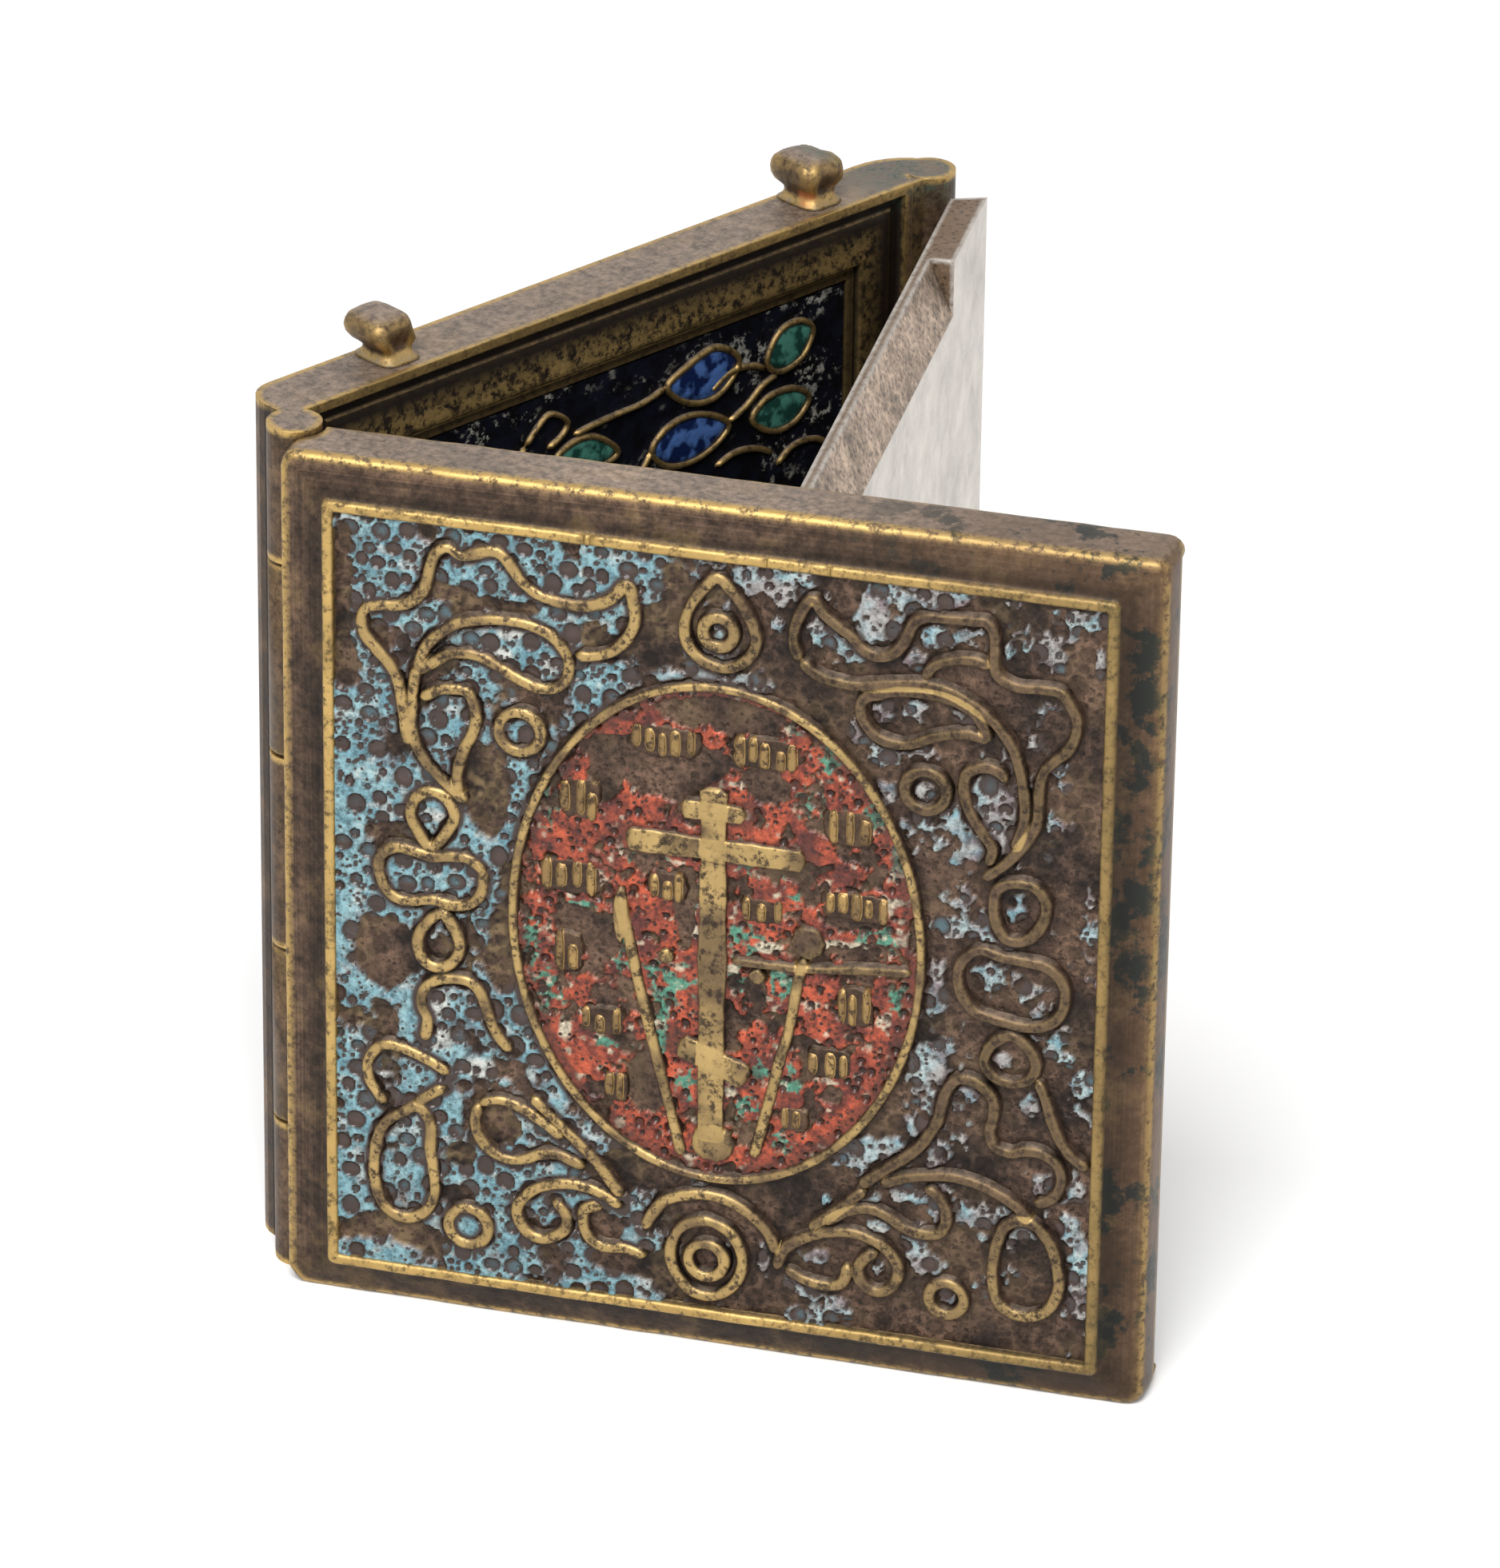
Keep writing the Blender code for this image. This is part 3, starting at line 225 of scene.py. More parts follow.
def old_brass(name, brown, gold, rub, reach, weather=None, grain=0.0001):
    """Brown patina, rubbed to gold on outward edges and where a stored value, bright, says so.

    Rub sets how much metal shows along the edges, and reach, in metres, how wide the rubbed edges are. Grain
    is the depth of the casting's roughness. Weather, where given, changes the patina and the rubbing in
    places: it takes and returns both.
    """
    finish, tree, shader = new_finish(name)
    place = add_node(tree, "ShaderNodeTexCoord").outputs["Object"]
    cloud = noise(tree, place, *BRASS_CLOUD_NOISE)
    fine = noise(tree, place, *BRASS_FINE_NOISE)
    inner = add_node(tree, "ShaderNodeAmbientOcclusion", {"Distance": reach}, samples=HOLLOW_SAMPLES,
                     inside=True, only_local=True)
    outer = add_node(tree, "ShaderNodeAmbientOcclusion", {"Distance": HOLLOW_REACH}, samples=HOLLOW_SAMPLES,
                     only_local=True)
    edge = ramp(tree, inner.outputs["AO"], *BRASS_EDGE_SPAN)
    broken = ramp(tree, fine, *BRASS_BROKEN_SPAN, 1.0 - rub, BRASS_BROKEN_MOST)
    worn = times(tree, edge, broken, clamp=True)
    stored = add_node(tree, "ShaderNodeAttribute", attribute_name="bright").outputs["Fac"]
    scuff = ramp(tree, fine, *BRASS_SCUFF_SPAN)
    polish = times(tree, stored, scuff, clamp=True)
    worn = larger(tree, worn, polish, clamp=True)
    drift = ramp(tree, cloud, *BRASS_DRIFT_SPAN, high=BRASS_DRIFT_MOST * rub)
    worn = larger(tree, worn, drift, clamp=True)
    dark = tuple(channel * PATINA_DARK for channel in brown)
    spread = ramp(tree, cloud, *BRASS_SPREAD_SPAN)
    skin = mixed(tree, spread, dark, brown)
    mottle = ramp(tree, fine, *BRASS_MOTTLE_SPAN)
    skin = shaded(tree, skin, mottle)
    # Hollows are darker: grime, and partly a painted shade read from the occlusion round them.
    hollow_grime_and_shade = ramp(tree, outer.outputs["AO"], *BRASS_HOLLOW_GRIME_AND_SHADE_SPAN)
    skin = shaded(tree, skin, hollow_grime_and_shade)
    # Faces that look up are paler: dust, and partly a painted top light.
    facing = add_node(tree, "ShaderNodeTexCoord").outputs["Normal"]
    facing = add_node(tree, "ShaderNodeSeparateXYZ", {0: facing})
    dust_and_light = ramp(tree, facing.outputs["Z"], *BRASS_DUST_AND_LIGHT_SPAN, high=UP_DUST_AND_LIGHT_SHARE)
    dusty_and_lit = shaded(tree, UP_DUST_AND_LIGHT, mottle)
    skin = mixed(tree, dust_and_light, skin, dusty_and_lit)
    if weather is not None:
        skin, worn = weather(tree, skin, worn, cloud, fine)
    shine = ramp(tree, cloud, *BRASS_SHINE_SPAN)
    metal_tone = mixed(tree, shine, gold, tuple(channel * GOLD_DARK for channel in gold))
    colour = mixed(tree, worn, skin, metal_tone)
    tree.links.new(colour, shader.inputs["Base Color"])
    metal = ramp(tree, worn, low=PATINA_METAL)
    tree.links.new(metal, shader.inputs["Metallic"])
    rough = ramp(tree, fine, low=BRASS_SMOOTH, high=BRASS_ROUGH)
    tree.links.new(rough, shader.inputs["Roughness"])
    shader.inputs["Specular IOR Level"].default_value = BRASS_SPECULAR
    soft = add_node(tree, "ShaderNodeBevel", {"Radius": EDGE_ROUNDING}, samples=ROUNDING_SAMPLES)
    relief = add_node(tree, "ShaderNodeBump", {"Strength": BRASS_BUMP, "Distance": grain, "Height": fine,
                                               "Normal": soft.outputs["Normal"]})
    tree.links.new(relief.outputs["Normal"], shader.inputs["Normal"])
    return finish


FRAME_SOOT_AND_SHADE = (0.016, 0.011, 0.008)
GREEN_CRUST = (0.05, 0.075, 0.06)
FRAME_DARK = -0.00234
FRAME_BLUR = 0.00004
MOULDING_HIGH = -0.00224
MOULDING_DEPTH = 0.00022
CRUST_START = 0.021
CRUST_FULL = 0.027
CRUST_FOOT = 0.06
CRUST_TOP = 0.0618
FRAME_LEVEL_SPAN = (0.8, 0.6)
FRAME_AHEAD_SPAN = (0.3, 0.0)
FRAME_BROKEN_SPAN = (0.43, 0.55)
SOOT_AND_SHADE_RUB = 0.25
MOULDING_RUB = 0.95
FRAME_UPWARD_SPAN = (-0.1, 0.45, 0.4, 1.3)
FRAME_CRUST_SPAN = (0.42, 0.58)


def frame_weather(tree, skin, worn, cloud, fine):
    """Soot and painted shade in the sunk frame, gold again on its raised moulding, green crust on the right
    corner.
    """
    coords = add_node(tree, "ShaderNodeTexCoord")
    spot = add_node(tree, "ShaderNodeSeparateXYZ", {0: coords.outputs["Object"]})
    facing = add_node(tree, "ShaderNodeSeparateXYZ", {0: coords.outputs["Normal"]})
    inside = ramp(tree, spot.outputs["Y"], FRAME_DARK - FRAME_BLUR, FRAME_DARK + FRAME_BLUR)
    level = ramp(tree, facing.outputs["Z"], *FRAME_LEVEL_SPAN)
    ahead = ramp(tree, facing.outputs["Y"], *FRAME_AHEAD_SPAN)
    sunk = times(tree, inside, level)
    sunk = times(tree, sunk, ahead)
    # Recessed faces that do not face up turn near black: soot, and partly a painted shade.
    skin = mixed(tree, sunk, skin, FRAME_SOOT_AND_SHADE)
    kept = ramp(tree, sunk, low=1.0, high=SOOT_AND_SHADE_RUB)
    worn = times(tree, worn, kept)
    high = ramp(tree, spot.outputs["Y"], MOULDING_HIGH + MOULDING_DEPTH, MOULDING_HIGH)
    broken = ramp(tree, fine, *FRAME_BROKEN_SPAN, high=MOULDING_RUB)
    high = times(tree, high, broken)
    high = times(tree, high, sunk)
    upward = ramp(tree, facing.outputs["Z"], *FRAME_UPWARD_SPAN)
    high = times(tree, high, upward, clamp=True)
    worn = larger(tree, worn, high)
    corner = ramp(tree, spot.outputs["X"], CRUST_START, CRUST_FULL)
    crust = ramp(tree, fine, *FRAME_CRUST_SPAN)
    top = ramp(tree, spot.outputs["Z"], CRUST_FOOT, CRUST_TOP)
    crust = times(tree, crust, corner)
    crust = times(tree, crust, top)
    skin = mixed(tree, crust, skin, GREEN_CRUST)
    return skin, worn


leaf_brass = old_brass("leaf_brass", BROWN_PATINA, WORN_GOLD, rub=0.8, reach=0.0006, weather=frame_weather,
                       grain=0.0002)


def dress(node, finish):
    """Give a solid of the CAD model a finish."""
    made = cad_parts[node]
    made.data.materials.clear()
    made.data.materials.append(finish)


dress("centre_leaf", leaf_brass)

# Hinge pins: plain drawn wire, pushed up from below into blind holes through the knuckles of both hinges.
# Only their feet show, from below, as brown as the brass round them.
PIN_BROWN = (0.12, 0.08, 0.05)
pin_brass = old_brass("pin_brass", PIN_BROWN, WORN_GOLD, rub=0.4, reach=0.0003)
dress("left_hinge_pin", pin_brass)
dress("right_hinge_pin", pin_brass)

# Left leaf, the cover: a cast raised panel with a moulded border, dark brown with rubbed edges. Its hinge
# end is cut round the knuckles and its back is a shallow tray for the folded right leaf. Sizes are in
# millimetres from its hinge axis.
MM = 0.001
LEFT_AXIS = (-29.9, -3.2)
LEFT_REST = math.radians(58.95)
LEFT_HEIGHT = 62.0
LEFT_START = 0.3
LEFT_END = 59.6
FILLET_LEFT = 3.35
FILLET_RIGHT = 56.5
FILLET_BOTTOM = 2.45
FILLET_TOP = 59.2
FILLET_WIDTH = 0.74
FIELD_LEVEL = 4.42
BARREL_RADIUS = 1.85
KNUCKLE_ROOM = 2.15
BARREL_SIDES = 56
TRAY_LEFT = 3.3
TRAY_RIGHT = 58.65
TRAY_RIM = 0.95
TRAY_FLOOR = 2.3
CENTRE_KNUCKLES = ((-0.3, 11.12), (23.9, 38.65), (52.35, 63.0))
LEAF_KNUCKLES = ((11.12, 23.9), (38.65, 52.35))
left_hinge = Matrix.Translation((LEFT_AXIS[0] * MM, LEFT_AXIS[1] * MM, 0.0))
left_place = left_hinge @ Matrix.Rotation(-LEFT_REST, 4, "Z")
NOISE_REACH = 90
NOISE_MARGIN = 12


def lattice_noise(x, z, cell, seed, octaves=3):
    """Smooth seeded noise from 0 to 1 over flat positions in millimetres, with this cell size."""
    total = np.zeros_like(x)
    weight = 0.0
    for octave in range(octaves):
        step = cell / 2 ** octave
        count = int(NOISE_REACH / step) + 4
        values = np.random.default_rng(seed + octave).random((count, count))
        across = (x + NOISE_MARGIN) / step
        upward = (z + NOISE_MARGIN) / step
        i = np.clip(across.astype(int), 0, count - 2)
        j = np.clip(upward.astype(int), 0, count - 2)
        fx = np.clip(across - i, 0, 1)
        fz = np.clip(upward - j, 0, 1)
        fx = fx * fx * (3 - 2 * fx)
        fz = fz * fz * (3 - 2 * fz)
        low = values[j, i] * (1 - fx) + values[j, i + 1] * fx
        high = values[j + 1, i] * (1 - fx) + values[j + 1, i + 1] * fx
        total += (low * (1 - fz) + high * fz) * 0.5 ** octave
        weight += 0.5 ** octave
    return total / weight


def make_mesh(name, points, faces, finish, smooth=True):
    """A mesh object from points in millimetres."""
    mesh = bpy.data.meshes.new(name)
    mesh.from_pydata((np.asarray(points, float) * MM).tolist(), [], faces)
    mesh.polygons.foreach_set("use_smooth", [smooth] * len(mesh.polygons))
    mesh.materials.append(finish)
    made = bpy.data.objects.new(name, mesh)
    scene.collection.objects.link(made)
    return made


def face_out(made):
    """Turn all faces of a mesh outward."""
    shape = bmesh.new()
    shape.from_mesh(made.data)
    bmesh.ops.recalc_face_normals(shape, faces=shape.faces)
    shape.to_mesh(made.data)
    shape.free()


def loft(name, rings, finish):
    """One closed body through rings of equal length, capped on the first and the last."""
    count = len(rings[0])
    points = [point for ring in rings for point in ring]
    faces = [list(range(count))[::-1], [len(points) - count + k for k in range(count)]]
    for row in range(len(rings) - 1):
        for k in range(count):
            n = (k + 1) % count
            faces.append([row * count + k, row * count + n, (row + 1) * count + n, (row + 1) * count + k])
    made = make_mesh(name, points, faces, finish)
    face_out(made)
    return made


def side_points(x0, x1, z0, z1, y, radius, corner_steps, side_steps):
    """Points round an upright rectangle with round corners and many points along its sides."""
    corners = ((x1 - radius, z0 + radius, -90), (x1 - radius, z1 - radius, 0),
               (x0 + radius, z1 - radius, 90), (x0 + radius, z0 + radius, 180))
    turned = []
    for x, z, start in corners:
        for k in range(corner_steps + 1):
            angle = math.radians(start + 90 * k / corner_steps)
            turned.append((x + radius * math.cos(angle), y, z + radius * math.sin(angle)))
    points = []
    for corner in range(4):
        first = turned[corner * (corner_steps + 1):(corner + 1) * (corner_steps + 1)]
        following = turned[((corner + 1) % 4) * (corner_steps + 1)]
        points.extend(first)
        for k in range(1, side_steps):
            part = k / side_steps
            points.append(tuple(a + (b - a) * part for a, b in zip(first[-1], following)))
    return points


def carve(made, operation, cutter):
    """Apply one Boolean and remove its cutter."""
    modifier = made.modifiers.new("carve", "BOOLEAN")
    modifier.operation = operation
    modifier.solver = "EXACT"
    modifier.object = cutter
    bpy.context.view_layer.update()
    mesh = bpy.data.meshes.new_from_object(made.evaluated_get(bpy.context.evaluated_depsgraph_get()))
    made.modifiers.clear()
    made.data = mesh
    bpy.data.objects.remove(cutter, do_unlink=True)


def round_bar(radius, bottom, top, finish):
    """An upright bar round the hinge axis."""
    angles = [2 * math.pi * k / BARREL_SIDES for k in range(BARREL_SIDES)]
    circle = [(radius * math.cos(angle), radius * math.sin(angle)) for angle in angles]
    return loft("round_bar", [[(x, y, z) for x, y in circle] for z in (bottom, top)], finish)


def inset_rectangle(inset):
    """The outline of the fillet, moved inward."""
    return (FILLET_LEFT + inset, FILLET_RIGHT - inset, FILLET_BOTTOM + inset, FILLET_TOP - inset)


# Each level is a rectangle, its depth from the hinge axis (outward is -y) and its corner radius.
cover_levels = []
FILLET_SECTION = (
    (0.78, 4.2, 0.15), (0.76, 4.86, 0.18), (0.7, 4.98, 0.22), (0.58, 5.05, 0.3), (0.44, 5.07, 0.35),
    (0.22, 5.06, 0.4), (0.08, 5.0, 0.45), (0.0, 4.88, 0.5), (-0.06, 4.7, 0.5),
)
for inset, level, radius in FILLET_SECTION:
    cover_levels.append((*inset_rectangle(inset), -level, radius))
BAND_STEPS = 9
BAND_TOP = 4.64
BAND_FALL = 0.7
BAND_HOLLOW = 0.06
BAND_CURVE = 1.25
BAND_CORNER = 0.5
BAND_CORNER_GROWTH = 0.4
BAND_GAP = 0.16
BAND_HINGE_INSET = 0.12
BAND_FAR_INSET = 0.55
BAND_INSET = 0.3
band_inner = inset_rectangle(-BAND_GAP)
band_outer = (LEFT_START + BAND_HINGE_INSET, LEFT_END - BAND_FAR_INSET, BAND_INSET, LEFT_HEIGHT - BAND_INSET)
for k in range(BAND_STEPS + 1):
    part = k / BAND_STEPS
    around = tuple(a + (b - a) * part for a, b in zip(band_inner, band_outer))
    level = BAND_TOP - BAND_FALL * part ** BAND_CURVE - BAND_HOLLOW * math.sin(math.pi * part)
    cover_levels.append((*around, -level, BAND_CORNER + BAND_CORNER_GROWTH * part))
EDGE_SECTION = ((0.16, 0.36, 3.82), (0.06, 0.2, 3.6), (0.01, 0.1, 3.2), (0.0, 0.02, 2.4), (0.0, 0.0, 1.4),
                (0.0, 0.02, 0.4), (0.02, 0.08, -0.2), (0.12, 0.2, -0.5), (0.3, 0.4, -0.65))
EDGE_CORNER = 1.0
for inset, end_inset, level in EDGE_SECTION:
    cover_levels.append((LEFT_START, LEFT_END - end_inset, inset, LEFT_HEIGHT - inset, -level, EDGE_CORNER))


FAR_BROWN = (0.105, 0.058, 0.029)
FAR_BLOT = (0.022, 0.024, 0.02)
FAR_START = 0.034
FAR_FULL = 0.048
FAR_SHARE = 0.5
FAR_RUB = 0.6
FOOT_START = 0.0018
FOOT_END = 0.004
FOOT_SHADE = 0.6
FILE_MARKS = (7.0, 0.0, 0.0)
FILE_WANDER = (60.0, 60.0, 60.0)


def vector_math(tree, operation, first, second, output=0):
    """One step of vector arithmetic."""
    return add_node(tree, "ShaderNodeVectorMath", {0: first, 1: second}, operation=operation).outputs[output]


BORDER_STREAK_NOISE = (1.0, 5.0)
BORDER_STREAK_SPAN = (0.3, 0.7, 0.65, 1.35)
BORDER_BLOT_NOISE = (170.0, 6.0, 0.7)
BORDER_BLOT_SPAN = (0.53, 0.57)
BORDER_DUSK_SPAN = (0.6, 2.3, 1.05, 0.42)


def border_weather(tree, skin, worn, cloud, fine):
    """File marks along the border, darker toward the fillet and the foot, brown and blotted at the far end.

    The stored value, gap, is the distance to the edge of the leaf in millimetres, and 0 behind the front.
    """
    gap = add_node(tree, "ShaderNodeAttribute", attribute_name="gap").outputs["Fac"]
    place = add_node(tree, "ShaderNodeTexCoord").outputs["Object"]
    wander = vector_math(tree, "MULTIPLY", place, FILE_WANDER)
    across = add_node(tree, "ShaderNodeCombineXYZ", {"X": gap}).outputs[0]
    across = vector_math(tree, "MULTIPLY", across, FILE_MARKS)
    streak = noise(tree, vector_math(tree, "ADD", wander, across), *BORDER_STREAK_NOISE)
    streak = ramp(tree, streak, *BORDER_STREAK_SPAN)
    skin = shaded(tree, skin, streak)
    spot = add_node(tree, "ShaderNodeSeparateXYZ", {0: place})
    far = ramp(tree, spot.outputs["X"], FAR_START, FAR_FULL)
    warm = ramp(tree, far, high=FAR_SHARE)
    skin = mixed(tree, warm, skin, FAR_BROWN)
    blot = noise(tree, place, *BORDER_BLOT_NOISE)
    blot = ramp(tree, blot, *BORDER_BLOT_SPAN, high=far)
    skin = mixed(tree, blot, skin, FAR_BLOT)
    kept = ramp(tree, far, low=1.0, high=FAR_RUB)
    worn = times(tree, worn, kept)
    dusk = ramp(tree, gap, *BORDER_DUSK_SPAN)
    skin = shaded(tree, skin, dusk)
    foot = ramp(tree, spot.outputs["Z"], FOOT_START, FOOT_END, FOOT_SHADE)
    skin = shaded(tree, skin, foot)
    return skin, worn


cover_brass = old_brass("cover_brass", BROWN_PATINA, WORN_GOLD, rub=0.7, reach=0.0007, weather=border_weather)
CORNER_STEPS = 4
SIDE_STEPS = 60
SWELL_CELL = 2.4
SWELL_OUT = 0.09
SWELL_UP = 0.05
cover_rings = [side_points(*level, CORNER_STEPS, SIDE_STEPS) for level in cover_levels]
cover_body = loft("left_leaf_casting", cover_rings, cover_brass)
# The casting is slightly uneven all over.
shape = bmesh.new()
shape.from_mesh(cover_body.data)
places = np.array([vert.co for vert in shape.verts]) / MM
swell = lattice_noise(places[:, 0] + 0.7 * places[:, 1], places[:, 2], SWELL_CELL, 11) - 0.5
for vert, push in zip(shape.verts, swell):
    vert.co.y += push * SWELL_OUT * MM
    vert.co.z += push * SWELL_UP * MM
shape.to_mesh(cover_body.data)
shape.free()
# The back is cut to a tray with a recessed floor and its far rim is cut lower. The hinge end is cut free of
# the centre leaf's knuckles, and then the leaf's own are joined on.
TRAY_STEPS = ((0.0, 1.6), (0.0, -TRAY_FLOOR), (1.6, -TRAY_FLOOR), (1.7, -TRAY_FLOOR - 0.5))
TRAY_CORNER = 0.1
RIM_DEPTHS = (1.65, -0.9)
tray_top = LEFT_HEIGHT - TRAY_RIM
tray_levels = [(TRAY_LEFT + inset, TRAY_RIGHT - inset, TRAY_RIM + inset, tray_top - inset, depth, TRAY_CORNER)
               for inset, depth in TRAY_STEPS]
rim_levels = [(TRAY_RIGHT - 0.5, LEFT_END + 1.0, TRAY_RIM, tray_top, depth, TRAY_CORNER)
              for depth in RIM_DEPTHS]
for name, levels in (("tray", tray_levels), ("rim", rim_levels)):
    carve(cover_body, "DIFFERENCE", loft(name, [side_points(*level, 2, 1) for level in levels], cover_brass))
for low, high in CENTRE_KNUCKLES:
    carve(cover_body, "DIFFERENCE", round_bar(KNUCKLE_ROOM, low, high, cover_brass))
for low, high in LEAF_KNUCKLES:
    carve(cover_body, "UNION", round_bar(BARREL_RADIUS, low, high, cover_brass))
# The lower corner at the hinge end is broken off, and the top of the fillet has four fine cracks.
BROKEN_CORNER = (1.3, 1.5)
corner_ends = [[(LEFT_START - 1.0, y, -1.0), (LEFT_START + BROKEN_CORNER[0] * 1.7, y, -1.0),
                (LEFT_START + 0.45, y, BROKEN_CORNER[1] * 0.5), (LEFT_START - 1.0, y, BROKEN_CORNER[1] * 1.7)]
               for y in (-0.9, -6.0)]
carve(cover_body, "DIFFERENCE", loft("corner", corner_ends, cover_brass))
CRACKS = (21.1, 21.5, 33.3, 37.5)
CRACK_FOOT = 57.2
CRACK_SECTION = ((0.02, 4.88), (0.1, 5.4))
for along in CRACKS:
    crack = [side_points(along - half, along + half, CRACK_FOOT, FILLET_TOP, -level, 0.01, 1, 1)
             for half, level in CRACK_SECTION]
    carve(cover_body, "DIFFERENCE", loft("crack", crack, cover_brass))


def store(made, key, values):
    """Keep one value for each point of a mesh, for its finish to read."""
    layer = made.data.attributes.new(key, "FLOAT", "POINT")
    layer.data.foreach_set("value", np.asarray(values, np.float32))


def points_of(made):
    """The points of a mesh in millimetres."""
    flat = np.empty(len(made.data.vertices) * 3)
    made.data.vertices.foreach_get("co", flat)
    return flat.reshape(-1, 3) / MM


def fade(value, start, width):
    """Rises straight from 0 at the start to 1 over this width. A negative width goes down from the start."""
    return np.clip((value - start) / width, 0, 1)


# Handling has rubbed the fillet, the outer edges and the back. The finish reads how much from these values.
spots = points_of(cover_body)
across, outward, upward = spots[:, 0], -spots[:, 1], spots[:, 2]
FILLET_SHOULDER = 4.92
FAR_FILLET = 55.2
fillet_rub = np.where(across > FAR_FILLET, 0.3, np.clip(1.6 - across / 50.0, 0.5, 1.0))
on_fillet = fade(outward, FILLET_SHOULDER, 0.08) * fillet_rub
rim_gap = np.minimum.reduce([across - LEFT_START, LEFT_END - across, upward, LEFT_HEIGHT - upward])
on_edge = fade(rim_gap, 0.5, -0.2) * fade(outward, 3.3, 0.3)
at_back = fade(outward, -0.3, -0.2) * 0.3
store(cover_body, "bright", np.maximum.reduce([on_fillet, on_edge * 0.95, at_back]))
on_front = fade(outward, 3.4, 0.2)
store(cover_body, "gap", rim_gap * on_front)
cover_body.matrix_world = left_place
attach(cover_body, "left_wing")
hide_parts("left_leaf")

# Ribs of the cover: raised walls of brass, cast with the leaf and ground flat on top. They draw the leaves,
# stems, rings and drops of the scrollwork and hold the enamel between them.
RIB_STEP = 0.22
RIB_PROFILE = (
    (-0.5, 4.3), (-0.41, 4.78), (-0.31, 4.98), (-0.16, 5.06), (0.16, 5.06), (0.31, 4.98), (0.41, 4.78),
    (0.5, 4.3),
)
RINGS = ((16.76, 44.3, 1.43), (13.24, 6.84, 1.37), (44.06, 44.0, 1.4), (46.24, 6.64, 1.2), (30.1, 53.4, 1.05),
         (29.75, 6.9, 1.25))
LOOPS = (
    ((9.9, 48.0), (10.4, 49.6), (11.6, 50.9), (12.8, 51.7), (14.4, 52.1), (16.0, 52.26), (17.6, 52.1),
     (19.0, 51.5), (19.9, 50.4), (20.1, 49.4), (19.8, 48.4), (19.0, 47.8), (18.0, 47.7), (16.8, 48.1),
     (15.6, 48.7), (14.4, 49.3), (13.2, 49.5), (12.0, 49.3), (11.0, 48.6)),
    ((10.7, 39.1), (9.7, 38.5), (9.3, 37.4), (9.6, 36.4), (10.75, 35.0), (12.1, 36.8), (12.3, 37.8),
     (11.7, 38.8)),
    ((7.1, 33.0), (7.4, 34.1), (8.4, 34.65), (9.6, 34.5), (10.8, 34.3), (12.0, 34.5), (13.2, 34.5),
     (14.1, 33.9), (14.3, 33.0), (14.0, 31.8), (13.2, 31.1), (12.0, 30.9), (10.8, 31.1), (9.4, 30.8),
     (8.4, 30.85), (7.5, 31.6)),
    ((11.4, 30.2), (10.3, 29.2), (9.8, 28.2), (9.8, 27.3), (10.2, 26.5), (11.1, 26.1), (12.0, 26.5),
     (12.6, 27.4), (12.6, 28.4), (12.2, 29.3)),
    ((9.8, 15.4), (8.6, 14.8), (7.3, 13.6), (6.8, 12.0), (6.64, 10.4), (6.8, 8.8), (7.3, 7.6), (8.2, 6.9),
     (9.4, 6.9), (10.4, 7.7), (10.9, 9.0), (10.8, 10.8), (10.6, 12.4), (10.6, 14.2)),
    ((30.0, 57.3), (29.0, 56.3), (28.2, 55.0), (27.8, 53.6), (28.0, 52.4), (28.8, 51.4), (30.1, 50.9),
     (31.2, 51.1), (32.1, 51.8), (32.6, 52.8), (32.5, 53.9), (31.9, 55.2), (31.0, 56.4)),
    ((29.75, 9.9), (28.2, 9.3), (27.4, 8.0), (27.3, 6.6), (27.9, 5.2), (29.0, 4.3), (30.4, 4.3),
     (31.6, 5.2), (32.2, 6.6), (32.1, 8.0), (31.3, 9.3)),
    ((40.9, 50.5), (39.9, 50.1), (39.6, 49.2), (40.0, 48.2), (40.8, 47.4), (42.0, 47.1), (43.2, 47.3),
     (44.4, 47.9), (45.6, 48.3), (46.8, 48.5), (48.0, 48.4), (47.4, 49.8), (46.4, 50.5), (45.2, 50.9),
     (43.8, 51.0), (42.2, 50.9)),
    ((48.8, 37.0), (49.2, 37.8), (50.2, 38.2), (51.4, 38.1), (52.2, 37.2), (52.2, 36.0), (51.6, 34.7),
     (50.6, 34.0), (49.6, 34.1), (48.9, 35.3)),
    ((46.5, 31.2), (47.0, 32.3), (48.0, 33.0), (49.4, 32.7), (50.8, 32.6), (52.4, 32.4), (53.5, 31.4),
     (53.7, 30.0), (53.2, 28.7), (52.2, 28.0), (51.0, 27.8), (50.0, 27.9), (48.8, 28.1), (47.6, 28.5),
     (46.7, 29.7)),
    ((50.2, 27.0), (51.4, 26.2), (51.9, 25.0), (51.4, 23.9), (50.2, 23.5), (49.0, 23.9), (48.4, 24.9),
     (48.9, 26.2)),
    ((50.0, 12.6), (49.6, 11.4), (49.4, 10.4), (49.3, 9.0), (49.5, 7.6), (50.0, 6.7), (51.0, 6.2),
     (52.2, 6.3), (53.2, 7.0), (53.8, 8.4), (53.8, 9.6), (53.5, 11.0), (53.0, 12.2), (52.0, 13.2),
     (50.9, 13.3)),
)
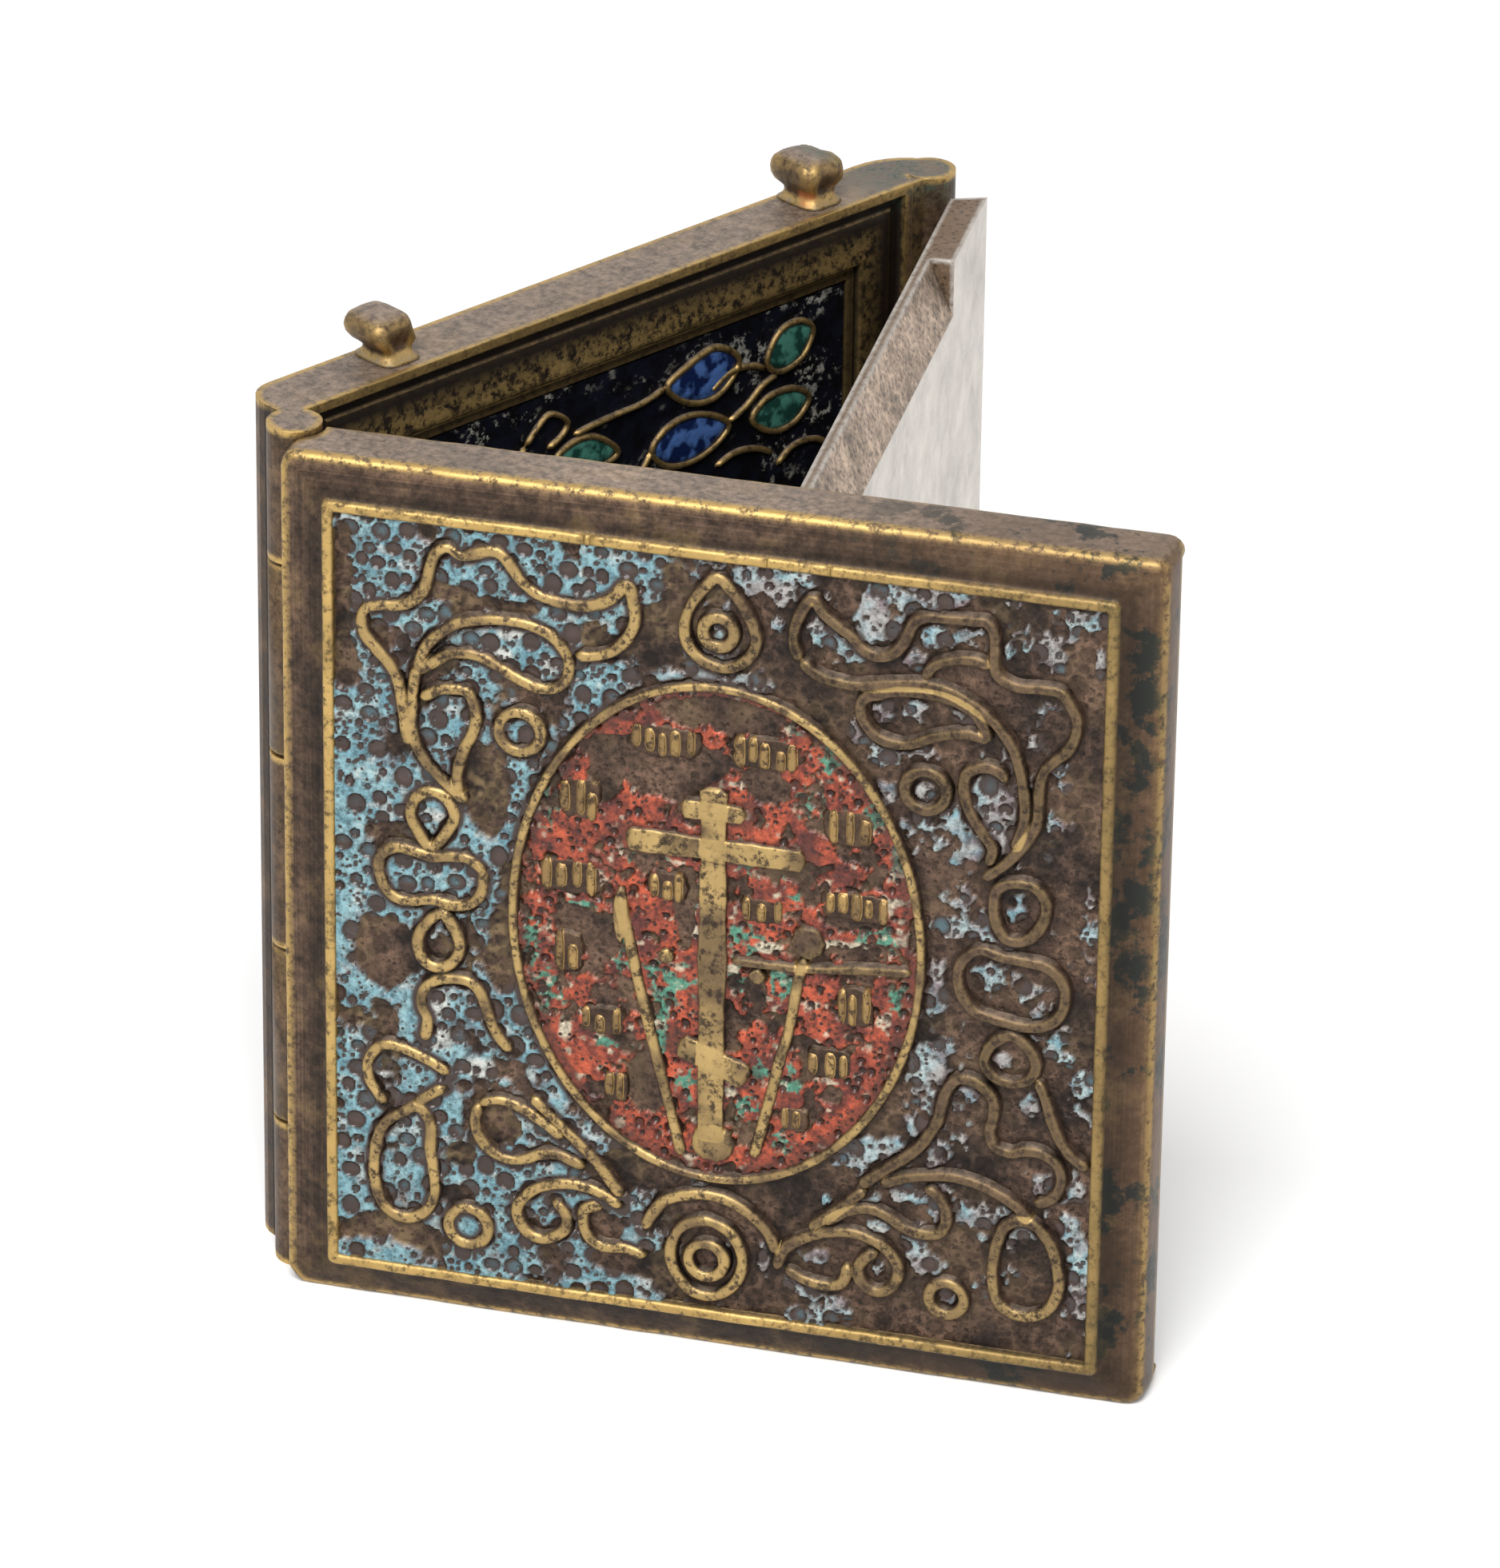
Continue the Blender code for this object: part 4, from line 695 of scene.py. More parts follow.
STROKES = (
    ((9.2, 42.3), (9.0, 43.2), (8.8, 45.0), (8.5, 46.8), (7.9, 48.0), (7.0, 49.0), (6.2, 50.0), (6.0, 51.0),
     (6.3, 51.8), (7.2, 52.15), (8.6, 52.35), (9.6, 52.9), (10.3, 53.8), (10.6, 55.0), (10.9, 56.1),
     (11.4, 56.75), (12.0, 56.9), (12.7, 56.5), (13.5, 56.65), (14.8, 57.1), (15.6, 56.85), (16.3, 56.0),
     (16.9, 55.2), (17.8, 54.5), (19.0, 54.15), (20.4, 54.0), (21.8, 54.2), (23.0, 54.9), (23.8, 55.9),
     (24.2, 55.6), (24.5, 53.8), (24.3, 52.7), (23.7, 51.7), (22.8, 50.9), (21.6, 50.5), (20.5, 50.4)),
    ((9.7, 48.0), (9.5, 46.2), (9.44, 45.0), (9.44, 43.6), (9.7, 42.4), (10.4, 41.2), (11.4, 40.2),
     (12.4, 39.3), (13.2, 38.7)),
    ((10.0, 45.8), (10.6, 46.2), (11.4, 46.65), (12.4, 46.8), (13.2, 46.7), (13.6, 46.0), (13.8, 44.8),
     (13.5, 43.6), (13.0, 42.6), (12.6, 41.2), (12.5, 40.0), (12.8, 39.2)),
    ((10.2, 20.5), (10.4, 21.6), (10.4, 22.3), (10.1, 22.9), (10.0, 23.7), (10.3, 24.5), (11.0, 25.1),
     (12.0, 25.4), (13.2, 25.4), (14.0, 24.8), (14.4, 23.8), (14.8, 22.6), (15.4, 21.5), (16.2, 20.6)),
    ((11.9, 18.2), (11.0, 18.8), (9.6, 19.4), (8.0, 19.8), (7.0, 19.5), (6.3, 18.4), (6.3, 17.2),
     (6.8, 16.2), (7.5, 15.3)),
    ((11.6, 17.2), (10.4, 16.3), (9.6, 15.6)),
    ((14.0, 16.3), (13.7, 15.0), (14.0, 13.8), (14.8, 12.9), (16.0, 12.4), (17.2, 12.6), (18.2, 13.1),
     (19.4, 13.3), (20.4, 13.0), (21.3, 12.6)),
    ((14.0, 16.3), (15.4, 16.8), (17.0, 16.4), (18.4, 15.6), (19.8, 14.6)),
    ((17.6, 17.4), (18.6, 16.5), (20.0, 15.2), (22.0, 13.3), (23.9, 10.8)),
    ((23.9, 10.0), (22.9, 10.6), (22.0, 11.0), (20.8, 11.2), (19.6, 11.1), (18.4, 10.7), (17.4, 10.0),
     (16.7, 9.0), (16.7, 8.0), (17.3, 7.1), (18.2, 6.7), (19.2, 7.0), (20.0, 7.7), (20.1, 8.6), (19.6, 9.4),
     (19.1, 9.7)),
    ((22.6, 9.9), (21.4, 9.5), (21.2, 8.5), (21.6, 7.4), (22.6, 6.8), (24.2, 6.9), (25.6, 6.5)),
    ((25.4, 8.6), (26.0, 9.8), (26.8, 10.9), (28.2, 11.6), (29.8, 11.9), (31.4, 11.6), (32.8, 10.8),
     (34.0, 9.6), (34.6, 8.2)),
    ((35.6, 52.2), (35.2, 53.0), (35.1, 54.0), (35.4, 55.2), (35.9, 56.2), (36.4, 56.7), (37.0, 55.8),
     (38.0, 55.0), (39.0, 54.3), (39.8, 53.5), (40.8, 53.2), (41.8, 53.6), (42.5, 54.6), (43.0, 55.8),
     (43.8, 56.4), (45.2, 56.5), (47.0, 56.6), (47.8, 56.6), (48.3, 56.0), (48.4, 54.8), (48.4, 53.6),
     (48.8, 52.8), (50.0, 52.3), (51.6, 52.4), (52.8, 52.3), (53.4, 51.6), (53.9, 50.6), (53.9, 49.6),
     (53.5, 48.4), (52.6, 47.4), (51.9, 46.6), (51.6, 45.4), (51.56, 44.0), (51.5, 42.8), (51.0, 41.6),
     (50.2, 40.4), (49.2, 39.2), (48.0, 38.2)),
    ((35.6, 52.2), (36.4, 51.5), (37.4, 51.1), (39.0, 50.9), (40.4, 51.1), (42.0, 51.4), (43.8, 51.6),
     (45.4, 51.4), (46.8, 50.8), (48.0, 50.0), (49.0, 49.0), (49.8, 47.8), (50.2, 46.6), (50.5, 45.2),
     (50.7, 43.6), (50.5, 42.0), (50.0, 40.6)),
    ((43.8, 52.0), (44.4, 53.0), (45.6, 53.6), (47.0, 53.8), (48.2, 53.5)),
    ((49.4, 45.4), (49.0, 46.0), (48.0, 46.3), (46.9, 45.8), (46.6, 45.0), (46.7, 43.8), (47.2, 42.6),
     (48.0, 41.4), (48.6, 40.4), (48.3, 39.2)),
    ((52.0, 24.0), (52.6, 22.6), (53.0, 21.2), (53.6, 19.8), (54.4, 18.7), (55.6, 17.9)),
    ((40.2, 14.2), (42.0, 15.8), (43.2, 16.8), (44.2, 17.8), (44.8, 18.8), (45.4, 20.0), (45.6, 21.0),
     (45.9, 22.2), (46.6, 23.2), (47.6, 23.3), (48.5, 22.8), (49.1, 22.0), (49.1, 20.8), (48.9, 19.6),
     (49.3, 18.6), (50.4, 18.3), (51.2, 18.6), (52.4, 18.6), (53.4, 18.0), (53.8, 17.0), (53.6, 15.9),
     (52.9, 15.1), (52.0, 14.8)),
    ((41.6, 14.6), (43.2, 15.3), (44.8, 15.7), (46.4, 15.9), (48.0, 15.7), (49.4, 15.2), (50.8, 14.4),
     (51.8, 13.4)),
    ((36.8, 10.4), (38.6, 12.1), (40.6, 14.0)),
    ((37.8, 11.0), (39.4, 12.2), (40.8, 12.6), (42.0, 12.3), (43.2, 11.6), (44.4, 11.3), (45.6, 11.5),
     (46.1, 12.4), (46.0, 13.4), (45.4, 14.4), (44.6, 14.8)),
    ((34.6, 7.0), (35.0, 8.4), (36.0, 9.4), (37.6, 10.2), (39.4, 10.6), (40.8, 10.4), (42.0, 9.8),
     (42.8, 8.8), (42.9, 7.8), (42.4, 6.8), (41.4, 6.4), (40.4, 7.0), (40.2, 8.0), (40.7, 8.9),
     (41.5, 9.4)),
    ((35.2, 7.2), (36.6, 6.5), (38.0, 6.3), (39.0, 6.6), (39.4, 7.4), (39.4, 8.2)),
)


def smooth_path(points, closed, step):
    """A smooth curve through the points, resampled at an even step."""
    points = np.array(points, float)
    count = len(points)
    dense = []
    for k in range(count if closed else count - 1):
        if closed:
            before, start, end, after = (points[(k + n) % count] for n in (-1, 0, 1, 2))
        else:
            before, start, end, after = (points[min(max(k + n, 0), count - 1)] for n in (-1, 0, 1, 2))
        for part in np.linspace(0, 1, 12, endpoint=False):
            dense.append(0.5 * (2 * start + (end - before) * part
                                + (2 * before - 5 * start + 4 * end - after) * part ** 2
                                + (3 * start - before - 3 * end + after) * part ** 3))
    dense.append(points[0] if closed else points[-1])
    dense = np.array(dense)
    along = np.concatenate([[0], np.cumsum(np.linalg.norm(np.diff(dense, axis=0), axis=1))])
    samples = max(int(along[-1] / step), 4)
    even = np.linspace(0, along[-1], samples + 1)
    path = np.stack([np.interp(even, along, dense[:, axis]) for axis in (0, 1)], axis=1)
    return path[:-1] if closed else path


def round_path(x, z, radius_x, radius_z, step):
    """Even points round an oval."""
    samples = max(int(2 * math.pi * max(radius_x, radius_z) / step), 12)
    angles = np.linspace(0, 2 * math.pi, samples, endpoint=False)
    return np.stack([x + radius_x * np.cos(angles), z + radius_z * np.sin(angles)], axis=1)


RIB_WAVER = 0.16
RIB_TOP_BAND = 0.09


def sweep(path, closed, profile, seed, width=1.0, taper=0.35):
    """Points and faces of a rib with this profile of (across, depth) along a path on the cover."""
    count = len(path)
    if closed:
        ahead = np.roll(path, -1, axis=0) - np.roll(path, 1, axis=0)
    else:
        ahead = np.gradient(path, axis=0)
    ahead = ahead / np.linalg.norm(ahead, axis=1)[:, None]
    across = np.stack([-ahead[:, 1], ahead[:, 0]], axis=1)
    rng = np.random.default_rng(seed)
    waver = np.convolve(rng.normal(0, 1, count + 8), np.ones(9) / 9, "valid")[:count] * RIB_WAVER
    scale = width * (1 + waver)
    lower = np.zeros(count)
    if not closed:
        along = np.arange(count) * np.linalg.norm(path[1] - path[0])
        near_end = np.minimum(along, along[-1] - along)
        scale = scale * np.clip(0.35 + 0.65 * near_end / taper, 0, 1)
        lower = 0.25 * np.clip(1 - near_end / taper, 0, 1) ** 2
    points = []
    bright = []
    tops = max(depth for offset, depth in profile)
    for k in range(count):
        for offset, depth in profile:
            bright.append(float(depth > tops - RIB_TOP_BAND))
            spot = path[k] + across[k] * offset * scale[k]
            level = depth if depth == profile[0][1] else depth - lower[k] + 0.03 * waver[k]
            points.append((spot[0], -level, spot[1]))
    size = len(profile)
    faces = []
    for k in range(count if closed else count - 1):
        n = (k + 1) % count
        for j in range(size - 1):
            faces.append([k * size + j, n * size + j, n * size + j + 1, k * size + j + 1])
    if not closed:
        faces.append([j for j in range(size)])
        faces.append([(count - 1) * size + j for j in range(size)][::-1])
    return points, faces, bright


def gather(pieces):
    """Join the points, faces and rubbing of many small pieces."""
    points = []
    faces = []
    bright = []
    for more_points, more_faces, more_bright in pieces:
        start = len(points)
        points.extend(more_points)
        faces.extend([[start + k for k in face] for face in more_faces])
        bright.extend(more_bright)
    return points, faces, np.array(bright)


def settle(made, body):
    """Face a piece outward, put it on the left leaf and let it move with it."""
    face_out(made)
    made.matrix_world = left_place
    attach(made, body)


rib_paths = [(round_path(x, z, r, r, RIB_STEP), True) for x, z, r in RINGS]
rib_paths += [(smooth_path(loop, True, RIB_STEP), True) for loop in LOOPS]
rib_paths += [(smooth_path(stroke, False, RIB_STEP), False) for stroke in STROKES]
rib_meshes = [sweep(path, closed, RIB_PROFILE, 100 + k) for k, (path, closed) in enumerate(rib_paths)]
RIB_BROWN = (0.085, 0.052, 0.036)
RIB_GOLD = (0.52, 0.36, 0.15)
# The ribs are rubbed most on the left half and along the foot of the cover.
RUBBED_LEFT = 34.0
RUBBED_FOOT = 14.0
RUB_FADE = 6.0
SPECKLE_CELL = 1.7
rib_brass = old_brass("rib_brass", RIB_BROWN, RIB_GOLD, rub=0.5, reach=0.0002)
points, faces, bright = gather(rib_meshes)
cover_ribs = make_mesh("cover_ribs", points, faces, rib_brass)
places = np.array(points)
rubbed_side = fade(places[:, 0], RUBBED_LEFT, -RUB_FADE)
rubbed_foot = fade(places[:, 2], RUBBED_FOOT, -RUB_FADE) * 0.5
speckle = lattice_noise(places[:, 0], places[:, 2], SPECKLE_CELL, 195, 4)
rub_share = np.clip(0.14 + 0.86 * rubbed_side + rubbed_foot, 0, 1)
store(cover_ribs, "bright", bright * rub_share * np.clip(3 * speckle - 0.5, 0.2, 1))
settle(cover_ribs, "left_wing")

# Medallion ring, cross, lance and reed: thicker relief in the middle of the cover, cast with the leaf and
# rubbed bright on top. Low reeded tablets and pellets stand round the cross.
MEDALLION = (30.15, 31.3, 13.85, 18.1)
BAR_PROFILE = (
    (-0.5, 4.3), (-0.5, 4.95), (-0.46, 5.03), (-0.4, 5.07), (0.4, 5.07), (0.46, 5.03), (0.5, 4.95),
    (0.5, 4.3),
)
BARS = (
    (((29.95, 42.2), (29.95, 16.0)), 1.8),
    (((27.7, 40.45), (32.1, 40.45)), 1.3),
    (((24.0, 37.7), (36.1, 37.7)), 1.6),
    (((27.7, 23.0), (32.5, 21.1)), 1.75),
)
BAR_STEP = 0.3
BAR_TAPER = 0.05
LANCE = ((23.6, 33.4), (24.2, 30.6), (25.0, 26.8), (26.0, 22.6), (26.8, 19.4), (28.0, 14.6))
REED = ((36.2, 30.6), (35.8, 29.0), (35.2, 25.2), (34.6, 22.8), (34.1, 20.4), (32.9, 15.2))
medallion_path = round_path(*MEDALLION, RIB_STEP)
middle_meshes = [sweep(medallion_path, True, RIB_PROFILE, 300, width=0.78)]
for k, (ends, width) in enumerate(BARS):
    line = smooth_path(ends, False, BAR_STEP)
    profile = [(offset * width, depth) for offset, depth in BAR_PROFILE]
    middle_meshes.append(sweep(line, False, profile, 310 + k, taper=BAR_TAPER))
for k, stroke in enumerate((LANCE, REED)):
    line = smooth_path(stroke, False, RIB_STEP)
    middle_meshes.append(sweep(line, False, RIB_PROFILE, 320 + k, width=0.95))
MOUND_SIDES = 28
MOUND_ROOT = 4.3


def ring_faces(rows, count):
    """Quads between rings of equal length, and one face over the last ring."""
    faces = []
    for row in range(rows - 1):
        for k in range(count):
            n = (k + 1) % count
            faces.append([row * count + k, row * count + n, (row + 1) * count + n, (row + 1) * count + k])
    faces.append([(rows - 1) * count + k for k in range(count)])
    return faces


def mound(x, z, half_x, half_z, top, power, seed):
    """A raised tablet or pellet with soft shoulders: a high power makes it square, 2 makes it oval."""
    rings = ((1.12, MOUND_ROOT), (1.06, top - 0.25), (0.97, top - 0.06), (0.82, top), (0.4, top + 0.01))
    count = MOUND_SIDES
    rng = np.random.default_rng(seed)
    waver = 1 + 0.04 * rng.normal(0, 1, count)
    points = []
    bright = []
    for share, level in rings:
        for k in range(count):
            angle = 2 * math.pi * k / count
            across = abs(math.cos(angle)) ** (2 / power) * math.copysign(1, math.cos(angle))
            upward = abs(math.sin(angle)) ** (2 / power) * math.copysign(1, math.sin(angle))
            reach = share * waver[k]
            points.append((x + half_x * reach * across, -level, z + half_z * reach * upward))
            bright.append(float(level > top - 0.1))
    return points, ring_faces(len(rings), count), bright


# Small reeded tablets, low cast blocks round the cross: middle, half width and half height.
TABLETS = ((26.5, 45.0, 2.3, 1.1), (33.4, 45.0, 2.3, 1.1), (20.8, 40.0, 1.3, 1.5), (39.0, 40.5, 1.6, 1.3),
           (20.2, 34.2, 2.1, 1.2), (39.6, 34.8, 2.3, 1.0), (26.8, 34.4, 1.3, 1.0), (33.2, 33.6, 1.5, 0.9),
           (20.0, 28.6, 1.0, 1.4), (39.6, 27.4, 1.2, 1.4), (22.4, 23.8, 1.5, 1.0), (23.4, 19.0, 0.8, 1.1),
           (38.0, 23.0, 1.5, 1.1), (35.6, 18.4, 0.9, 0.9))
PELLETS = ((30.1, 15.9, 1.4, 1.35), (36.4, 31.8, 1.05, 1.15), (23.7, 32.0, 0.5, 1.9), (26.8, 29.4, 0.5, 0.5),
           (33.0, 28.8, 0.5, 0.5))
REED_PITCH = 0.95
TABLET_LEVEL = 4.78
REED_LEVEL = 5.0
PELLET_LEVEL = 5.06
TABLET_BROWN = (0.075, 0.044, 0.028)
TABLET_GOLD = (0.46, 0.3, 0.12)
tablet_meshes = []
for k, (x, z, half_x, half_z) in enumerate(TABLETS):
    rng = np.random.default_rng(700 + k)
    base_points, base_faces, base_bright = mound(x, z, half_x, half_z, TABLET_LEVEL, 4, 340 + k)
    tablet_meshes.append((base_points, base_faces, [0.0] * len(base_bright)))
    reeds = max(2, round(2 * half_x / REED_PITCH))
    for n in range(reeds):
        reed_x = x + half_x * ((2 * n + 1) / reeds - 1) + 0.1 * rng.normal()
        half = half_z * rng.uniform(0.6, 0.98)
        reed_z = z + (half_z - half) * rng.uniform(-1, 1)
        half_reed = rng.uniform(0.2, 0.32)
        reed_top = REED_LEVEL - 0.08 * rng.random()
        reed = mound(reed_x, reed_z, half_reed, half, reed_top, 3, 400 + 9 * k + n)
        shine = rng.uniform(0.4, 1.0)
        tablet_meshes.append((reed[0], reed[1], [shine * value for value in reed[2]]))
points, faces, bright = gather(tablet_meshes)
tablet_brass = old_brass("tablet_brass", TABLET_BROWN, TABLET_GOLD, rub=0.3, reach=0.00008)
tablets = make_mesh("medallion_tablets", points, faces, tablet_brass)
store(tablets, "bright", bright)
settle(tablets, "left_wing")
for k, (x, z, half_x, half_z) in enumerate(PELLETS):
    middle_meshes.append(mound(x, z, half_x, half_z, PELLET_LEVEL, 2, 370 + k))
SIDE_RIB = ((31.2, 29.7), (36.0, 29.8), (40.0, 30.3), (43.4, 30.6))
middle_meshes.append(sweep(smooth_path(SIDE_RIB, False, RIB_STEP), False, RIB_PROFILE, 390, width=0.8))
points, faces, bright = gather(middle_meshes)
middle_relief = make_mesh("medallion_relief", points, faces, rib_brass)
places = np.array(points)
speckle = lattice_noise(places[:, 0], places[:, 2], SPECKLE_CELL, 395, 4)


def medallion_share(x, z):
    """0 in the middle of the medallion, 1 on its ring, more outside."""
    return np.hypot((x - MEDALLION[0]) / MEDALLION[2], (z - MEDALLION[1]) / MEDALLION[3])


inside_ring = medallion_share(places[:, 0], places[:, 2])
# The middle of the shaft and the rib beside it have stayed dark with soot.
SHAFT_MIDDLE = 29.95
SHAFT_HALF = 1.2
SOOT_FOOT = 25.6
SOOT_TOP = 34.2
SIDE_START = 30.8
SIDE_FOOT = 28.0
across, upward = places[:, 0], places[:, 2]
shaft_dark = fade(upward, SOOT_FOOT, 1.2) * fade(upward, SOOT_TOP, -1.6)
side_dark = fade(across, SIDE_START, 0.4) * fade(upward, SIDE_FOOT, 0.8)
side_dark = side_dark * fade(upward, SOOT_TOP, -0.6) * (inside_ring < 0.93)
sooted = np.maximum(shaft_dark * (np.abs(across - SHAFT_MIDDLE) < SHAFT_HALF) * 0.7, side_dark * 0.75)
store(middle_relief, "bright", bright * np.clip(3.2 * speckle - 0.75, 0.15, 1) * (1 - sooted))
settle(middle_relief, "left_wing")

# Enamel of the cover: opaque glass fused into the cells, full of burst bubbles, and lost in places down to
# the metal. The ground is turquoise blue, the medallion is red with green and cream.
GROUND_STEP = 0.146
BUBBLE_WINDOW = 1.4
BUBBLE_OVERLAP = 0.08
BUBBLE_DEPTH = 0.36
BUBBLE_RIM = 0.04
FOAM_CELL = 4.0
ground_edge = FILLET_WIDTH + 0.02


def burst_bubbles(x, z, step, count, small, large, seed):
    """Depth and shade of open bubbles on a flat grid: the large ones first, the small ones in the gaps left.

    The shade is 0 on the glass, 0.5 under the rim, where a bubble is painted darkest as shade, and up to 1 on
    its floor.
    """
    rng = np.random.default_rng(seed)
    depth = np.zeros_like(x)
    dark = np.zeros_like(x)
    taken = np.zeros(x.shape, bool)
    low_x, low_z = x[0, 0], z[0, 0]
    foam = lattice_noise(x, z, FOAM_CELL, seed + 5)
    for radius in np.sort(small + (large - small) * rng.random(count) ** 3.4)[::-1]:
        cx = low_x + rng.random() * (x[0, -1] - low_x)
        cz = low_z + rng.random() * (z[-1, 0] - low_z)
        stretch = 0.8 + 0.4 * rng.random()
        floor = 0.1 + 0.8 * rng.random()
        if foam[int((cz - low_z) / step), int((cx - low_x) / step)] < 0.28 + 0.3 * rng.random():
            continue
        i0 = max(int((cx - BUBBLE_WINDOW * radius - low_x) / step), 0)
        i1 = min(int((cx + BUBBLE_WINDOW * radius - low_x) / step) + 2, x.shape[1])
        j0 = max(int((cz - BUBBLE_WINDOW * radius - low_z) / step), 0)
        j1 = min(int((cz + BUBBLE_WINDOW * radius - low_z) / step) + 2, x.shape[0])
        part = (slice(j0, j1), slice(i0, i1))
        away = np.hypot(x[part] - cx, (z[part] - cz) * stretch) / radius
        if taken[part][away < 1.0].mean() > BUBBLE_OVERLAP:
            continue
        taken[part] |= away < 1.1
        bowl = np.clip(1 - away ** 2, 0, 1) ** 0.5 * min(0.9 * radius, BUBBLE_DEPTH)
        rim = BUBBLE_RIM * np.exp(-((away - 1.12) / 0.14) ** 2)
        depth[part] = np.maximum(depth[part], bowl) - rim * (depth[part] < 0.02)
        # Painted shade in the bubble: darkest just under the rim, lighter toward the floor.
        shade = np.minimum((1.0 - away) / 0.22, 0.5 + (0.88 - away) * floor)
        dark[part] = np.maximum(dark[part], np.clip(shade, 0, 1))
    return depth, dark


def patches(x, z, spots):
    """How far inside any of these oval spots a point is: 1 in the middle, 0 at the rim, negative outside."""
    inside = np.full_like(x, -9.0)
    for cx, cz, rx, rz in spots:
        inside = np.maximum(inside, 1 - np.hypot((x - cx) / rx, (z - cz) / rz))
    return inside


def rib_distance(x, z, paths):
    """Distance from each point to the nearest rib centre line."""
    samples = np.concatenate(paths)
    tree = kdtree.KDTree(len(samples))
    for k, (px, pz) in enumerate(samples):
        tree.insert((px, pz, 0.0), k)
    tree.balance()
    flat = [tree.find((px, pz, 0.0))[2] for px, pz in zip(x.ravel(), z.ravel())]
    return np.array(flat).reshape(x.shape)


def relief_sheet(name, x, z, level, keep, values, finish):
    """A sheet of quads over a flat grid at these levels, with named values stored on its points."""
    used = keep[:-1, :-1] & keep[1:, :-1] & keep[:-1, 1:] & keep[1:, 1:]
    wide = x.shape[1]
    j, i = np.nonzero(used)
    corner = j * wide + i
    quads = np.stack([corner, corner + 1, corner + wide + 1, corner + wide], axis=1)
    kept, index = np.unique(quads, return_inverse=True)
    points = np.stack([x.ravel(), -level.ravel(), z.ravel()], axis=1)[kept]
    made = make_mesh(name, points, index.reshape(-1, 4).tolist(), finish)
    for key, value in values.items():
        store(made, key, value.ravel()[kept])
    return made


BARE_DARK = (0.027, 0.017, 0.013)
BARE_WARM = (0.15, 0.09, 0.06)
BARE_RUBBED = (0.175, 0.12, 0.062)
ENAMEL_CLOUD_NOISE = (420.0, 6.0, 0.65)
ENAMEL_FINE_NOISE = (2600.0, 4.0, 0.7)
ENAMEL_TONE_SPAN = (0.4, 0.6)
ENAMEL_GRIT_SPAN = (0.36, 0.6, 0.42, 1.25)
ENAMEL_BUBBLES_SPAN = (0.3, 0.18)
ENAMEL_CLUSTER_SPAN = (0.4, 0.55)
ENAMEL_FLOOR_SPAN = (0.5, 0.95)
ENAMEL_CLEAR_SPAN = (0.5, 0.6)
ENAMEL_STAIN_NOISE = (210.0, 7.0, 0.62)
ENAMEL_STAIN_SPAN = (0.38, 0.62)
ENAMEL_DOT_SCALE = 1900.0
ENAMEL_DOT_SHADE = 0.5
ENAMEL_RIM_SHADE = 0.45
ENAMEL_FLOOR_TONE = 1.5
ENAMEL_CLEAR_SHARE = 0.7
ENAMEL_CLEAR_TONE = 0.6
ENAMEL_SMOOTH_SPAN = (0.0, 0.5, 0.3, 0.13)
ENAMEL_SPECULAR = 0.3
BARE_PIT_SHADE = 0.55
BARE_ROUGH = 0.5
BARE_METAL = 0.4


